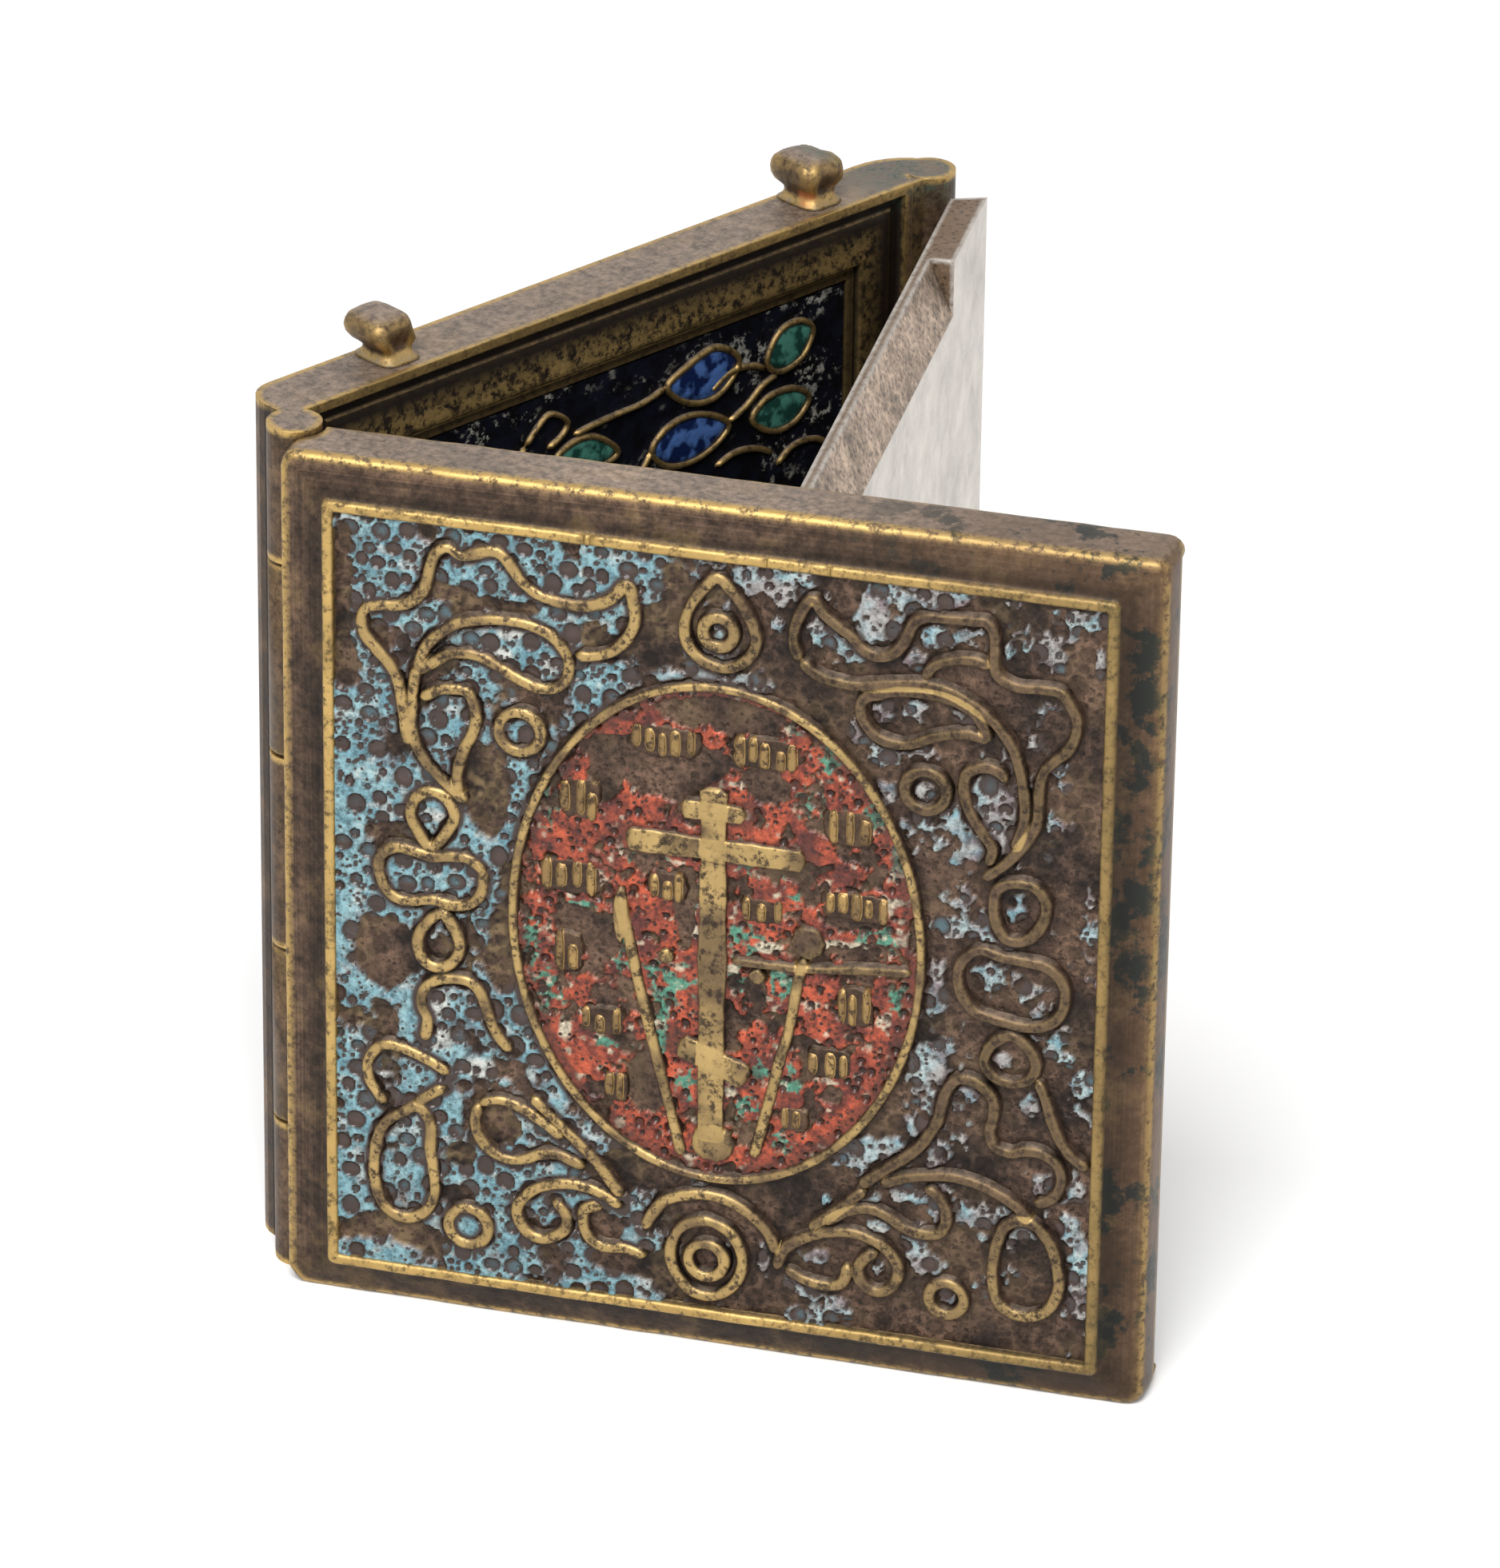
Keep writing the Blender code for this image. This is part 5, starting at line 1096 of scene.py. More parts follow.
def enamel_finish(name, glass_light, glass_deep, pit_and_shade, second, third):
    """Glass over bare metal, mixed by the values stored on the sheet: glass, pit_and_shade, second, third,
    rubbed.
    """
    finish, tree, shader = new_finish(name)
    place = add_node(tree, "ShaderNodeTexCoord").outputs["Object"]
    cloud = noise(tree, place, *ENAMEL_CLOUD_NOISE)
    fine = noise(tree, place, *ENAMEL_FINE_NOISE)
    stored = {key: add_node(tree, "ShaderNodeAttribute", attribute_name=key).outputs["Fac"]
              for key in ("glass", "pit_and_shade", "second", "third", "rubbed")}
    tone = ramp(tree, cloud, *ENAMEL_TONE_SPAN)
    glass = mixed(tree, tone, glass_deep, glass_light)
    for share, colour in ((stored["second"], second), (stored["third"], third)):
        glass = mixed(tree, share, glass, colour)
    grit = ramp(tree, fine, *ENAMEL_GRIT_SPAN)
    glass = shaded(tree, glass, grit)
    bubbles = add_node(tree, "ShaderNodeTexVoronoi", {"Vector": place, "Scale": ENAMEL_DOT_SCALE})
    bubbles = ramp(tree, bubbles.outputs["Distance"], *ENAMEL_BUBBLES_SPAN, high=ENAMEL_DOT_SHADE)
    cluster = ramp(tree, cloud, *ENAMEL_CLUSTER_SPAN)
    dots = times(tree, bubbles, cluster)
    stored["pit_and_shade"] = larger(tree, stored["pit_and_shade"], dots)
    # Pits take their colour as a painted shade, darkest under the rim, with a lighter floor; the tiny dots
    # count as pits.
    rim = ramp(tree, stored["pit_and_shade"], end=ENAMEL_RIM_SHADE)
    floor = ramp(tree, stored["pit_and_shade"], *ENAMEL_FLOOR_SPAN)
    floor_tone = tuple(ENAMEL_FLOOR_TONE * channel for channel in pit_and_shade)
    clear = ramp(tree, cloud, *ENAMEL_CLEAR_SPAN, high=ENAMEL_CLEAR_SHARE)
    clear_tone = tuple(ENAMEL_CLEAR_TONE * channel for channel in glass_deep)
    clear = mixed(tree, clear, floor_tone, clear_tone)
    for share, colour in ((rim, pit_and_shade), (floor, clear)):
        glass = mixed(tree, share, glass, colour)
    stain = noise(tree, place, *ENAMEL_STAIN_NOISE)
    stain = ramp(tree, stain, *ENAMEL_STAIN_SPAN)
    bare = mixed(tree, stain, BARE_DARK, BARE_WARM)
    bare = shaded(tree, bare, grit)
    bare = mixed(tree, stored["rubbed"], bare, BARE_RUBBED)
    # Bare metal is painted darker inside the pits, as shade.
    shade = ramp(tree, rim, low=1.0, high=BARE_PIT_SHADE)
    bare = shaded(tree, bare, shade)
    colour = mixed(tree, stored["glass"], bare, glass)
    tree.links.new(colour, shader.inputs["Base Color"])
    smooth = ramp(tree, stored["pit_and_shade"], *ENAMEL_SMOOTH_SPAN)
    rough = ramp(tree, stored["glass"], low=BARE_ROUGH, high=smooth)
    tree.links.new(rough, shader.inputs["Roughness"])
    shader.inputs["Specular IOR Level"].default_value = ENAMEL_SPECULAR
    metal = ramp(tree, stored["glass"], low=BARE_METAL, high=0.0)
    tree.links.new(metal, shader.inputs["Metallic"])
    relief = add_node(tree, "ShaderNodeBump", {"Strength": 0.4, "Distance": 0.00008, "Height": fine})
    sunk = add_node(tree, "ShaderNodeBump", {"Strength": 0.8, "Distance": 0.00012, "Height": dots,
                                             "Normal": relief.outputs["Normal"]}, invert=True)
    tree.links.new(sunk.outputs["Normal"], shader.inputs["Normal"])
    return finish


# Soft oval spots, each a middle and two radii: glass that survives on the right half, bare metal on the
# left half, and cream in the blue.
GLASS_SPOTS = (
    (31.8, 57, 1.6, 1.2), (34, 56.6, 1.2, 1.8), (33.8, 54.5, 0.8, 1.2), (40.4, 56.2, 1.0, 1.8),
    (44.6, 57.6, 1.2, 0.7), (54.4, 57.6, 1.6, 0.8), (55.3, 55, 0.4, 1.6), (37.2, 54, 1.6, 1.2),
    (39.2, 53, 1.4, 1.0), (42.8, 53, 0.9, 1.0), (41.2, 49.4, 1.2, 1.2), (43.2, 49.6, 1.6, 1.4),
    (39.4, 47.6, 0.9, 1.0), (41, 46, 0.8, 0.9), (44, 44, 0.9, 0.9), (43.8, 41.6, 0.6, 0.6),
    (47.4, 40.4, 0.8, 1.2), (45.8, 34.2, 1.2, 0.9), (48.2, 34.8, 0.8, 1.4), (50.4, 36, 0.8, 1.4),
    (44.9, 30.6, 0.9, 1.6), (48.4, 31, 1.4, 1.2), (45, 29, 1.0, 1.6), (55, 38, 0.8, 1.0),
    (49.6, 24.8, 1.2, 0.8), (51.6, 22, 1.0, 1.0), (47.4, 22.4, 1.0, 0.8), (43.8, 19.2, 1.2, 0.8),
    (39.8, 17, 2.2, 1.2), (42.2, 17.6, 1.4, 0.6), (44.8, 17.8, 0.7, 1.0), (54.8, 16, 0.8, 1.6),
    (54.4, 13, 1.0, 1.2), (51.4, 12.6, 1.4, 1.0), (43.4, 14, 1.3, 1.0), (40.6, 13.4, 1.0, 0.7),
    (37.8, 12.8, 0.6, 0.6), (41.4, 11.3, 1.3, 0.5), (45, 9, 1.3, 1.0), (46.2, 6.6, 0.9, 0.8),
    (41.5, 8.2, 0.6, 1.0), (37.2, 8.2, 1.6, 0.8), (33.6, 7.6, 0.6, 1.6), (31.4, 8.4, 0.6, 1.2),
    (48.6, 44, 1.8, 2.2),
)
BARE_SPOTS = (
    (14.5, 39.4, 1.7, 3.6), (7.4, 26.7, 2.1, 2.8), (15.6, 28.0, 1.2, 3.6), (7.8, 5.6, 3.4, 1.3),
    (4.6, 52.0, 0.9, 5.5), (23.6, 12.4, 2.6, 1.6), (24.6, 5.6, 4.0, 1.1), (25.6, 52.6, 1.8, 2.2),
    (22.6, 51.2, 1.6, 1.0), (11.4, 53.6, 2.4, 0.7), (16.0, 53.2, 2.4, 0.6), (22.8, 8.4, 1.6, 1.4),
    (15.6, 14.8, 1.6, 1.6), (12.5, 9.0, 1.4, 1.0), (12.6, 12.0, 1.2, 1.0),
)
CREAM_SPOTS = (
    (16.2, 51.4, 1.2, 0.6), (15.4, 49.8, 1.0, 0.5), (18.8, 49.5, 0.8, 0.8), (11.2, 23.6, 0.8, 1.6),
    (14.2, 19.0, 1.8, 0.9), (11.0, 20.8, 1.4, 1.0), (7.4, 18.2, 0.8, 1.2), (11.4, 37.2, 0.9, 0.5),
    (21.2, 56.4, 0.6, 0.5), (41.5, 11.1, 0.8, 0.4), (45.8, 33.2, 0.8, 0.5), (47.6, 30.2, 0.8, 0.8),
    (50.6, 35.6, 0.4, 0.6), (13.2, 47.8, 0.4, 0.4),
)
field_x = np.arange(FILLET_LEFT + ground_edge, FILLET_RIGHT - ground_edge + GROUND_STEP, GROUND_STEP)
field_z = np.arange(FILLET_BOTTOM + ground_edge, FILLET_TOP - ground_edge + GROUND_STEP, GROUND_STEP)
x, z = np.meshgrid(field_x, field_z)
near_rib = rib_distance(x, z, [path for path, closed in rib_paths] + [medallion_path])
# Glass survives where this value is high: over most of the left half, in spots on the right half, and less
# beside ribs.
LEFT_HALF = 33
HALF_FADE = 10
GLASS_EDGE = 0.16
GLASS_START = 0.35
FIELD_SWELL = 0.1
BLUE_THICKNESS = 0.4
BLUE_BUBBLES = (24000, 0.16, 0.74, 31)
rough_field = lattice_noise(x, z, 2.8, 21, 5) - 0.5
left_share = fade(x, LEFT_HALF, -HALF_FADE)
survive = 3.4 * rough_field + 0.98 * left_share - 0.4
survive = np.maximum(survive, 1.3 * patches(x, z, GLASS_SPOTS) + 2.6 * rough_field - 0.12 * (1 - left_share))
survive = survive - left_share * np.clip(2.6 * patches(x, z, BARE_SPOTS) + 0.5, 0, 1.6)
survive = survive - 0.45 * fade(near_rib, 0.62, -0.2)
survive = survive + (1.1 - 0.6 * left_share) * (lattice_noise(x, z, 0.6, 77, 2) - 0.5)
glass = np.clip(survive / GLASS_EDGE + GLASS_START, 0, 1)
bubble_depth, bubble_dark_and_shade = burst_bubbles(x, z, GROUND_STEP, *BLUE_BUBBLES)
level = FIELD_LEVEL + FIELD_SWELL * rough_field + BLUE_THICKNESS * glass
level = level - bubble_depth * (0.15 + 0.85 * glass)
# Cream and violet stain the glass in clouds, and bare metal is rubbed in others. A dark band runs along the
# ribs.
cream = np.clip(patches(x, z, CREAM_SPOTS) * 2.2 + (lattice_noise(x, z, 0.9, 51) - 0.5) * 1.6, 0, 1)
cream = np.maximum(cream, np.clip((lattice_noise(x, z, 1.1, 53) - 0.62) * 5, 0, 0.6))
cream = np.maximum(cream, (1 - left_share) * np.clip(2.2 * lattice_noise(x, z, 1.0, 57) - 0.75, 0, 0.45))
violet = np.clip(0.75 - survive / 0.5, 0, 0.75) * np.clip(lattice_noise(x, z, 1.3, 61) * 2.6 - 0.7, 0, 1)
violet = np.maximum(violet, (1 - left_share) * np.clip(3 * lattice_noise(x, z, 1.6, 63) - 1.1, 0, 0.85))
speckle = lattice_noise(x, z, 0.4, 73, 2)
rubbed = np.clip((lattice_noise(x, z, 3.0, 71) - 0.47) * 4, 0, 1) * np.clip(left_share + 0.35, 0, 1)
rubbed = rubbed * np.clip((speckle - 0.34) * 4, 0, 1)
dark_beside_ribs = fade(near_rib, 0.85, -0.3) * 0.5
bubble_dark_and_shade = np.maximum(bubble_dark_and_shade, dark_beside_ribs)
inside_medallion = medallion_share(x, z)
BLUE_LIGHT = (0.215, 0.355, 0.38)
BLUE_DEEP = (0.115, 0.24, 0.285)
BLUE_PIT_AND_SHADE = (0.046, 0.03, 0.025)
BLUE_VIOLET = (0.17, 0.105, 0.105)
BLUE_CREAM = (0.44, 0.45, 0.42)
blue_glass = enamel_finish("blue_enamel", BLUE_LIGHT, BLUE_DEEP, BLUE_PIT_AND_SHADE, BLUE_VIOLET, BLUE_CREAM)
blue_values = {"glass": glass, "pit_and_shade": bubble_dark_and_shade, "second": violet, "third": cream, "rubbed": rubbed}
cover_ground = relief_sheet("cover_ground", x, z, level, inside_medallion > 0.995, blue_values, blue_glass)
settle(cover_ground, "left_wing")
other_enamels = ("medallion_enamel", "centre_panel_enamel", "left_inner_panel_enamel",
                 "right_inner_panel_enamel")
blue_nodes = [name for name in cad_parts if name.endswith("_enamel") and name not in other_enamels]
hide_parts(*blue_nodes)
# The red ground of the medallion is made in the same way on a finer grid, with smaller bubbles.
RED_STEP = 0.11
RED_THICKNESS = 0.28
RED_BUBBLES = (2800, 0.14, 0.4, 131)
RED_BARE_SPOTS = (
    (26.5, 43.5, 3.6, 2.4), (33.4, 42.6, 1.6, 1.4), (22.6, 42.5, 1.2, 2.2), (20.4, 30.6, 1.2, 1.4),
    (25.5, 19.5, 1.2, 2.2), (28.0, 33.0, 0.8, 3.0), (30.0, 47.4, 4.0, 1.2), (22.2, 30.2, 1.4, 1.8),
    (39.4, 33.8, 2.2, 0.9), (38.2, 20.6, 0.8, 0.8),
)
GREEN_SPOTS = (
    (18.6, 40.4, 0.8, 2.2), (25.2, 36.3, 1.4, 0.5), (28.4, 34.4, 0.5, 1.2), (20.6, 32.1, 1.2, 0.4),
    (17.6, 29.4, 0.5, 1.8), (18.8, 25.6, 1.0, 1.4), (23.6, 28.8, 0.6, 1.4), (27.0, 27.4, 1.6, 1.4),
    (23.4, 22.3, 1.4, 0.4), (26.4, 24.4, 0.5, 2.2), (28.4, 20.0, 0.8, 1.0), (32.2, 18.6, 0.9, 1.2),
    (32.2, 31.4, 1.0, 1.0), (41.4, 32.6, 1.6, 0.8), (42.6, 28.6, 0.6, 1.2), (34.6, 28.4, 0.8, 1.0),
    (31.6, 28.6, 0.6, 1.2), (33.2, 21.8, 0.6, 0.8), (34.8, 16.8, 0.6, 0.9), (36.4, 41.8, 0.8, 1.2),
    (40.8, 41.6, 0.7, 0.9), (42.4, 38.6, 0.5, 1.2), (37.6, 45.4, 0.6, 1.4), (35.2, 47.2, 1.0, 0.4),
    (33.6, 36.5, 1.6, 0.5), (35.4, 34.6, 0.4, 0.8), (35.4, 21.4, 0.6, 1.0),
)
RED_CREAM_SPOTS = (
    (39.2, 31.7, 2.2, 0.6), (33.6, 31.0, 1.2, 0.5), (19.9, 23.0, 0.5, 1.2), (31.2, 19.8, 0.6, 0.6),
    (28.6, 31.4, 0.5, 0.6), (31.3, 29.0, 0.5, 0.5),
)
red_x = np.arange(MEDALLION[0] - MEDALLION[2], MEDALLION[0] + MEDALLION[2] + RED_STEP, RED_STEP)
red_z = np.arange(MEDALLION[1] - MEDALLION[3], MEDALLION[1] + MEDALLION[3] + RED_STEP, RED_STEP)
x, z = np.meshgrid(red_x, red_z)
inside_medallion = medallion_share(x, z)
rough_field = lattice_noise(x, z, 1.8, 121, 5) - 0.5
survive = 3.0 * rough_field + 0.3 + 0.7 * (lattice_noise(x, z, 0.5, 125, 2) - 0.5)
survive = survive - np.clip(2.4 * patches(x, z, RED_BARE_SPOTS) + 0.5, 0, 1.5)
glass = np.clip(survive / GLASS_EDGE + GLASS_START, 0, 1)
bubble_depth, bubble_dark_and_shade = burst_bubbles(x, z, RED_STEP, *RED_BUBBLES)
level = FIELD_LEVEL + FIELD_SWELL * rough_field + RED_THICKNESS * glass
level = level - bubble_depth * (0.3 + 0.7 * glass)
level = level + 0.06 * glass * lattice_noise(x, z, 0.5, 141)
# Green runs in veins within its spots, cream in small clouds.
vein = 1 - np.abs(lattice_noise(x, z, 0.8, 151, 3) - 0.5) / 0.07
near_green = patches(x, z, GREEN_SPOTS)
green = np.clip(1.3 * vein + 2.2 * near_green + 0.5, 0, 1) * np.clip(3 * near_green + 1.5, 0, 1)
cream = np.clip(patches(x, z, RED_CREAM_SPOTS) * 3 + (lattice_noise(x, z, 0.8, 161) - 0.5) * 2.0, 0, 1)
cream = np.maximum(cream, np.clip((lattice_noise(x, z, 0.7, 163) - 0.69) * 8, 0, 0.8))
relief_paths = [smooth_path(ends, False, BAR_STEP) for ends, width in BARS]
near_relief = rib_distance(x, z, relief_paths + [medallion_path])
# The red is darker along the ring and the bars too.
bubble_dark_and_shade = np.maximum(bubble_dark_and_shade, fade(near_relief, 1.25, -0.4) * 0.45)
RED_LIGHT = (0.42, 0.078, 0.034)
RED_DEEP = (0.1, 0.024, 0.018)
RED_PIT_AND_SHADE = (0.035, 0.018, 0.013)
LEAF_GREEN = (0.075, 0.22, 0.15)
WARM_CREAM = (0.5, 0.44, 0.32)
red_glass = enamel_finish("red_enamel", RED_LIGHT, RED_DEEP, RED_PIT_AND_SHADE, LEAF_GREEN, WARM_CREAM)
rubbed = np.clip((lattice_noise(x, z, 2.0, 171) - 0.5) * 3, 0, 1) * 0.5
red_values = {"glass": glass, "pit_and_shade": bubble_dark_and_shade * 0.6, "second": green, "third": cream, "rubbed": rubbed}
medallion_ground = relief_sheet("medallion_ground", x, z, level, inside_medallion < 1.01, red_values,
                                red_glass)
settle(medallion_ground, "left_wing")
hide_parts("medallion_enamel")

# Catch lugs: small cast heads on tapered necks, brazed on the top edge of the centre leaf. A notch is cut
# under the front of each head, and grey flux and a coppery spot of braze are left at the foot.
LUG_WIDTH = 3.2
LUG_DEPTH = 3.9
LUG_HEIGHT = 3.15
LUG_SEAT = 62.36
LUG_SETBACK = 2.8
LUG_SECTIONS = (
    (0.0, 1.06), (0.04, 0.96), (0.1, 0.86), (0.18, 0.8), (0.27, 0.82), (0.36, 0.96), (0.44, 1.09),
    (0.54, 1.14), (0.68, 1.14), (0.8, 1.1), (0.88, 1.03), (0.94, 0.9), (0.98, 0.7), (1.0, 0.4),
)
LUG_POINTS = 40
NOTCH_DEPTH = 0.34
LUG_SQUARENESS = 0.54
FRAME_FRONT = 2.4
FLUX_TOP = 0.0631
FLUX_FULL = 0.0625
BRAZE_SPOT = (0.0188, -0.0006, 0.0631)
BRAZE_RADIUS = 0.0009
BRAZE_FULL = 0.0005
CROWN_FOOT = 0.0648
CROWN_TOP = 0.0655
CROWN_LEFT = 0.0195
CROWN_RIGHT = 0.0205
BRAZE_COPPER = (0.5, 0.19, 0.075)
FLUX_GREY = (0.2, 0.18, 0.145)
LUG_GREEN = (0.06, 0.1, 0.08)
LUG_BROWN = (0.13, 0.08, 0.05)
LUGS = (("left_catch_lug", 11.3, 0.0, 0.4, 401), ("right_catch_lug", 50.0, 0.25, 0.1, 402))
LUG_CRUMB_SPAN = (0.4, 0.62)


def lug_weather(tree, skin, worn, cloud, fine):
    """Flux at the foot, one coppery spot of braze, and a green crust on the right head."""
    place = add_node(tree, "ShaderNodeTexCoord").outputs["Object"]
    spot = add_node(tree, "ShaderNodeSeparateXYZ", {0: place})
    foot = ramp(tree, spot.outputs["Z"], FLUX_TOP, FLUX_FULL)
    crumb = ramp(tree, fine, *LUG_CRUMB_SPAN)
    foot = times(tree, foot, crumb)
    skin = mixed(tree, foot, skin, FLUX_GREY)
    away = vector_math(tree, "DISTANCE", place, BRAZE_SPOT, "Value")
    braze = ramp(tree, away, BRAZE_RADIUS, BRAZE_FULL)
    skin = mixed(tree, braze, skin, BRAZE_COPPER)
    crown = ramp(tree, spot.outputs["Z"], CROWN_FOOT, CROWN_TOP)
    right = ramp(tree, spot.outputs["X"], CROWN_LEFT, CROWN_RIGHT)
    crown = times(tree, crown, right)
    crown = times(tree, crown, crumb)
    skin = mixed(tree, crown, skin, LUG_GREEN)
    kept = ramp(tree, foot, low=1.0, high=0.0)
    worn = times(tree, worn, kept)
    return skin, worn


lug_brass = old_brass("lug_brass", LUG_BROWN, WORN_GOLD, rub=0.85, reach=0.0008, weather=lug_weather,
                      grain=0.00016)
for name, middle, taller, lean, seed in LUGS:
    rng = np.random.default_rng(seed)
    lumps = np.convolve(rng.normal(0, 1, LUG_POINTS + 6), np.ones(7) / 7, "valid") * (0.07 + 0.3 * taller)
    rings = []
    for rise, share in LUG_SECTIONS:
        ring = []
        for k in range(LUG_POINTS):
            angle = 2 * math.pi * k / LUG_POINTS
            across = math.copysign(abs(math.cos(angle)) ** LUG_SQUARENESS, math.cos(angle))
            along = math.copysign(abs(math.sin(angle)) ** LUG_SQUARENESS, math.sin(angle))
            reach = share * (1 + lumps[k] * (0.4 + rise))
            front = max(1 - abs(angle - 1.5 * math.pi) / 0.6, 0.0) * math.exp(-((rise - 0.4) / 0.2) ** 2)
            bent = lean * min(max((rise - 0.3) / 0.3, 0.0), 1.0)
            notched = 1 - NOTCH_DEPTH * front
            ring.append((middle + LEFT_AXIS[0] - bent + across * reach * LUG_WIDTH / 2,
                         LUG_SETBACK - FRAME_FRONT + bent + along * reach * LUG_DEPTH / 2 * notched,
                         LUG_SEAT + rise * (LUG_HEIGHT + taller)))
        rings.append(ring)
    lug = loft(name + "_casting", rings, lug_brass)
    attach(lug, "centre")
    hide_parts(name)

# Centre panel: dark glass fused into the sunk field of the frame. Thin curling brass ribs stand in it and
# hold leaves of blue and green glass. The insides of the wings have plain panels of dark glass.
PANEL_BLACK = (0.003, 0.003, 0.004)
PANEL_BLUE = (0.006, 0.007, 0.013)
CHALK_GREY = (0.3, 0.29, 0.25)
PANEL_CLOUD_NOISE = (700.0, 6.0, 0.7)
PANEL_TONE_SPAN = (0.42, 0.6)
PANEL_CRUMBS_NOISE = (1300.0, 5.0, 0.75)
PANEL_CHALK_SPAN = (0.54, 0.6)
PANEL_DRIFTS_NOISE = (260.0, 3.0)
PANEL_DRIFTS_SPAN = (0.48, 0.6)
panel_glass, tree, shader = new_finish("panel_glass")
place = add_node(tree, "ShaderNodeTexCoord").outputs["Object"]
cloud = noise(tree, place, *PANEL_CLOUD_NOISE)
tone = ramp(tree, cloud, *PANEL_TONE_SPAN)
colour = mixed(tree, tone, PANEL_BLACK, PANEL_BLUE)
crumbs = noise(tree, place, *PANEL_CRUMBS_NOISE)
chalk = ramp(tree, crumbs, *PANEL_CHALK_SPAN)
drifts = noise(tree, place, *PANEL_DRIFTS_NOISE)
drifts = ramp(tree, drifts, *PANEL_DRIFTS_SPAN)
chalk = ramp(tree, chalk, high=drifts)
colour = mixed(tree, chalk, colour, CHALK_GREY)
tree.links.new(colour, shader.inputs["Base Color"])
shader.inputs["Roughness"].default_value = 0.35
shader.inputs["Specular IOR Level"].default_value = 0.25
relief = add_node(tree, "ShaderNodeBump", {"Strength": 0.6, "Distance": 0.0002, "Height": cloud})
tree.links.new(relief.outputs["Normal"], shader.inputs["Normal"])
dress("centre_panel_enamel", panel_glass)
PANEL_PROFILE = ((-0.28, 1.6), (-0.22, 1.95), (-0.1, 2.08), (0.1, 2.08), (0.22, 1.95), (0.28, 1.6))
PANEL_STEMS = (
    ((21.6, 53.2), (22.8, 54.4), (23.9, 54.9), (25.4, 53.9), (24.9, 53.0), (23.6, 52.4)),
    ((26.0, 52.7), (28.0, 52.9), (30.0, 53.0), (32.4, 53.1), (34.4, 53.6)),
    ((38.6, 52.0), (40.4, 52.9), (42.4, 52.8), (43.8, 52.2)),
    ((40.4, 49.2), (42.0, 49.9), (43.6, 51.0), (45.0, 51.4)),
    ((45.0, 44.5), (46.2, 45.4), (47.5, 45.6), (48.9, 45.3), (50.0, 44.6)),
    ((39.2, 46.2), (41.0, 46.7), (43.0, 46.4), (44.6, 45.6)),
    ((30.4, 45.4), (31.6, 47.2), (33.2, 49.2)),
    ((17.6, 51.2), (19.2, 51.4), (20.6, 52.2), (21.6, 53.2)),
    ((23.4, 47.2), (25.4, 47.4), (27.4, 48.2), (29.0, 49.6)),
    ((16.2, 45.9), (16.8, 46.8), (17.6, 47.6)),
)
PANEL_LEAVES = (
    ("cobalt", ((34.6, 53.6), (36.5, 54.6), (38.6, 55.2), (40.2, 54.7), (41.3, 53.5), (40.2, 52.0),
                (38.4, 51.4), (36.2, 52.0))),
    ("cobalt", ((33.2, 49.2), (34.5, 50.5), (36.8, 50.8), (39.0, 50.1), (40.4, 49.0), (39.2, 47.9),
                (37.0, 47.3), (34.6, 47.7))),
    ("green", ((44.0, 53.0), (45.2, 54.6), (47.0, 54.8), (48.3, 53.8), (47.4, 52.1), (45.6, 51.5),
               (44.4, 51.9))),
    ("green", ((42.6, 48.8), (44.0, 49.9), (46.4, 49.9), (48.0, 48.8), (47.0, 47.5), (45.2, 47.1),
               (43.6, 47.7))),
    ("green", ((24.2, 51.2), (25.6, 52.1), (27.6, 52.1), (29.4, 51.0), (30.0, 50.0), (28.0, 49.6),
               (25.6, 50.0))),
    ("cobalt", ((10.4, 51.0), (11.6, 52.6), (14.0, 53.2), (16.4, 52.6), (17.6, 51.2), (16.2, 50.0),
                (13.8, 49.5), (11.6, 49.9))),
    ("green", ((17.6, 47.6), (18.8, 48.9), (20.8, 49.2), (22.6, 48.4), (23.4, 47.2), (21.8, 46.3),
               (19.6, 46.2))),
    ("green", ((11.0, 46.4), (12.2, 47.6), (14.0, 47.8), (15.6, 47.0), (16.2, 45.9), (14.6, 45.2),
               (12.4, 45.3))),
)
PANEL_ROWS = ((0.0, False), (-12.2, True), (-24.4, False), (-36.6, True))
PANEL_STEP = 0.3
POOL_SECTION = ((0.98, 1.6), (0.95, 1.9), (0.7, 1.98), (0.3, 1.99))
PANEL_BROWN = (0.05, 0.032, 0.02)
COBALT_LIGHT = (0.065, 0.14, 0.36)
COBALT_DEEP = (0.006, 0.014, 0.06)
GREEN_LIGHT = (0.06, 0.2, 0.15)
GREEN_DEEP = (0.01, 0.045, 0.035)
WING_LIGHT = (0.008, 0.011, 0.022)
WING_DEEP = (0.004, 0.005, 0.009)
LEAF_CLOUD_NOISE = (900.0, 5.0)
LEAF_TONE_SPAN = (0.43, 0.56)


def leaf_glass(name, light, deep):
    """Glass of two tones, clouded and faintly uneven."""
    finish, tree, shader = new_finish(name)
    place = add_node(tree, "ShaderNodeTexCoord").outputs["Object"]
    cloud = noise(tree, place, *LEAF_CLOUD_NOISE)
    tone = ramp(tree, cloud, *LEAF_TONE_SPAN)
    colour = mixed(tree, tone, deep, light)
    tree.links.new(colour, shader.inputs["Base Color"])
    shader.inputs["Roughness"].default_value = 0.3
    relief = add_node(tree, "ShaderNodeBump", {"Strength": 0.5, "Distance": 0.0002, "Height": cloud})
    tree.links.new(relief.outputs["Normal"], shader.inputs["Normal"])
    return finish


def domed(outline, shares):
    """A low dome over a closed outline: each ring is a share of the outline's size and a level."""
    middle = outline.mean(axis=0)
    points = []
    for share, level in shares:
        points.extend([(x, -level, z) for x, z in middle + (outline - middle) * share])
    return points, ring_faces(len(shares), len(outline)), [0.0] * len(points)


def panel_path(points, shift, mirrored):
    """A path of the panel in the part's frame, moved to its row and turned over where the row is mirrored."""
    side = -1 if mirrored else 1
    return [(side * (x + LEFT_AXIS[0]), z + shift) for x, z in points]


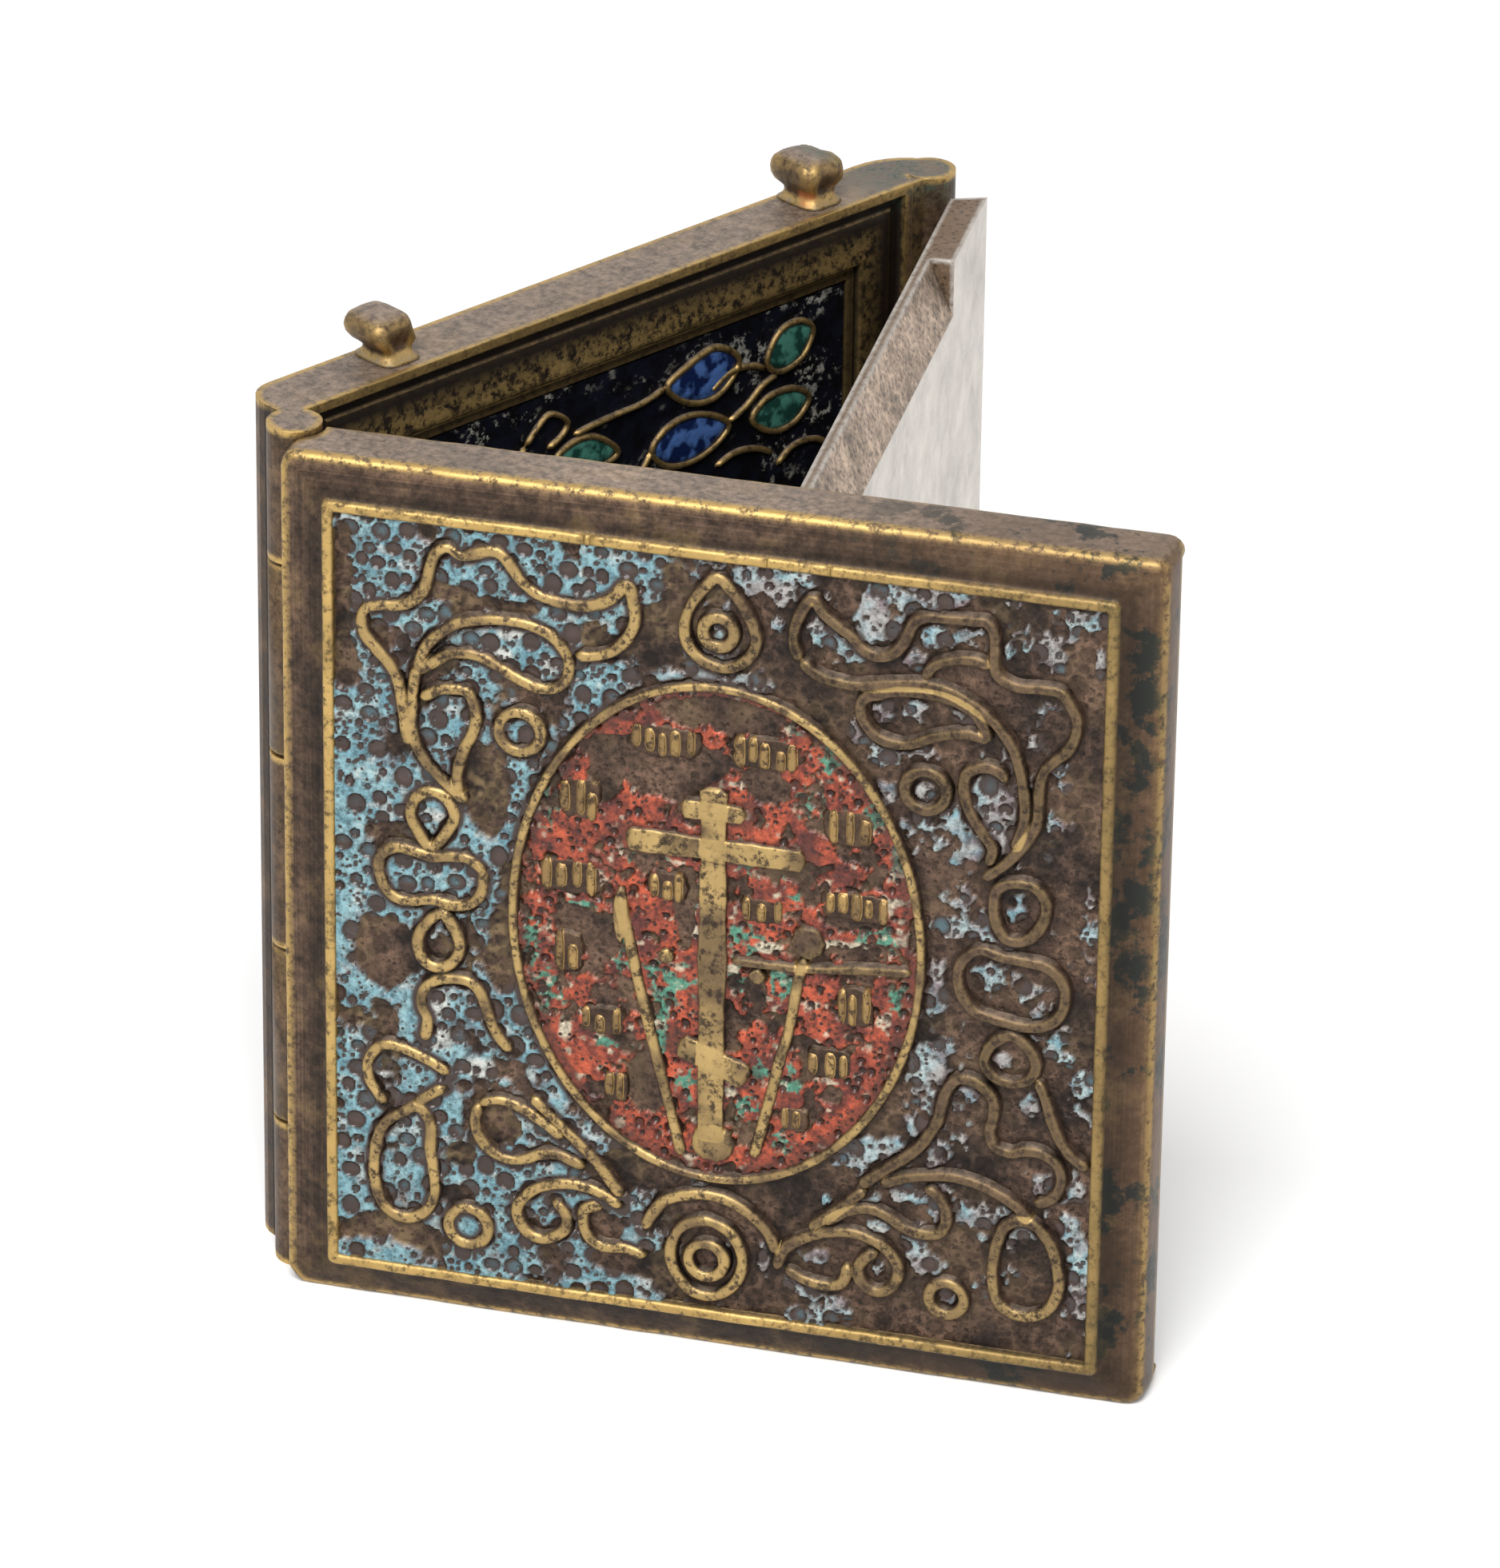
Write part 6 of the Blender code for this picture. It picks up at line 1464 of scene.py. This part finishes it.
panel_ribs = []
panel_pools = {"cobalt": [], "green": []}
for shift, mirrored in PANEL_ROWS:
    for k, stem in enumerate(PANEL_STEMS):
        path = smooth_path(panel_path(stem, shift, mirrored), False, PANEL_STEP)
        panel_ribs.append(sweep(path, False, PANEL_PROFILE, 600 + k))
    for k, (colour, leaf) in enumerate(PANEL_LEAVES):
        path = smooth_path(panel_path(leaf, shift, mirrored), True, PANEL_STEP)
        panel_ribs.append(sweep(path, True, PANEL_PROFILE, 620 + k))
        panel_pools[colour].append(domed(path, POOL_SECTION))
panel_brass = old_brass("panel_rib_brass", PANEL_BROWN, WORN_GOLD, rub=0.9, reach=0.0003)
cobalt_glass = leaf_glass("cobalt_glass", COBALT_LIGHT, COBALT_DEEP)
green_glass = leaf_glass("green_glass", GREEN_LIGHT, GREEN_DEEP)
for name, meshes, finish, slot in (
        ("panel_ribs", panel_ribs, panel_brass, "cast_brass"),
        ("panel_cobalt_leaves", panel_pools["cobalt"], cobalt_glass, "dark_enamel"),
        ("panel_green_leaves", panel_pools["green"], green_glass, "dark_enamel")):
    points, faces, bright = gather(meshes)
    made = make_mesh(name, points, faces, finish)
    store(made, "bright", bright * 0.5)
    face_out(made)
    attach(made, "centre")
wing_glass = leaf_glass("wing_panel_glass", WING_LIGHT, WING_DEEP)
dress("left_inner_panel_enamel", wing_glass)
dress("right_inner_panel_enamel", wing_glass)

# Right leaf: a thinner brass casting, folded in behind the cover. Its flat outside is rubbed pale by
# handling, and the steep bevel round it is left brown and pitted from the mould.
RIGHT_REST = math.radians(33.755)
RIGHT_BROWN = (0.48, 0.36, 0.27)
PALE_GOLD = (0.74, 0.69, 0.63)
PALE_STAIN = (0.32, 0.29, 0.26)
PALE_FLAT = (0.72, 0.69, 0.65)
SHADED_BROWN = (0.15, 0.095, 0.055)
SMEAR_STRETCH = (1.0, 1.0, 0.8)
RIGHT_SMEAR_NOISE = (330.0, 8.0, 0.72)
PIT_SCALE = 2300.0
right_outward = (math.sin(RIGHT_REST), -math.cos(RIGHT_REST), 0.0)
RIGHT_FLAT_SPAN = (0.93, 0.99)
RIGHT_STAIN_SPAN = (0.3, 0.52)
RIGHT_AWAY_SPAN = (0.3, 0.1)
RIGHT_AWAY_SHARE = 0.85
BEVEL_RUB = 0.8
FLAT_RUB = 0.15
FLAT_SHINE_SPAN = (0.0, 1.0, 0.45, 0.95)
RIGHT_PITS_SPAN = (0.12, 0.45, 0.42, 1.12)


def right_weather(tree, skin, worn, cloud, fine):
    """Pale and smooth on the flat outside, brown and pitted on the bevel and edges."""
    coords = add_node(tree, "ShaderNodeTexCoord")
    facing = vector_math(tree, "DOT_PRODUCT", coords.outputs["Normal"], right_outward, "Value")
    flat = ramp(tree, facing, *RIGHT_FLAT_SPAN)
    smear = vector_math(tree, "MULTIPLY", coords.outputs["Object"], SMEAR_STRETCH)
    smear = noise(tree, smear, *RIGHT_SMEAR_NOISE)
    stain = ramp(tree, smear, *RIGHT_STAIN_SPAN)
    pale = mixed(tree, stain, PALE_STAIN, PALE_FLAT)
    skin = mixed(tree, flat, skin, pale)
    away = ramp(tree, facing, *RIGHT_AWAY_SPAN, high=RIGHT_AWAY_SHARE)
    skin = mixed(tree, away, skin, SHADED_BROWN)
    pits = add_node(tree, "ShaderNodeTexVoronoi", {"Vector": coords.outputs["Object"], "Scale": PIT_SCALE})
    pits = ramp(tree, pits.outputs["Distance"], *RIGHT_PITS_SPAN)
    even = larger(tree, pits, flat)
    skin = shaded(tree, skin, even)
    kept = ramp(tree, flat, low=BEVEL_RUB, high=FLAT_RUB)
    worn = times(tree, worn, kept)
    rubbed = ramp(tree, stain, *FLAT_SHINE_SPAN)
    rubbed = times(tree, rubbed, flat)
    worn = larger(tree, worn, rubbed)
    return skin, worn


pale_brass = old_brass("pale_brass", RIGHT_BROWN, PALE_GOLD, rub=0.6, reach=0.0004, weather=right_weather,
                       grain=0.0005)
dress("right_leaf", pale_brass)
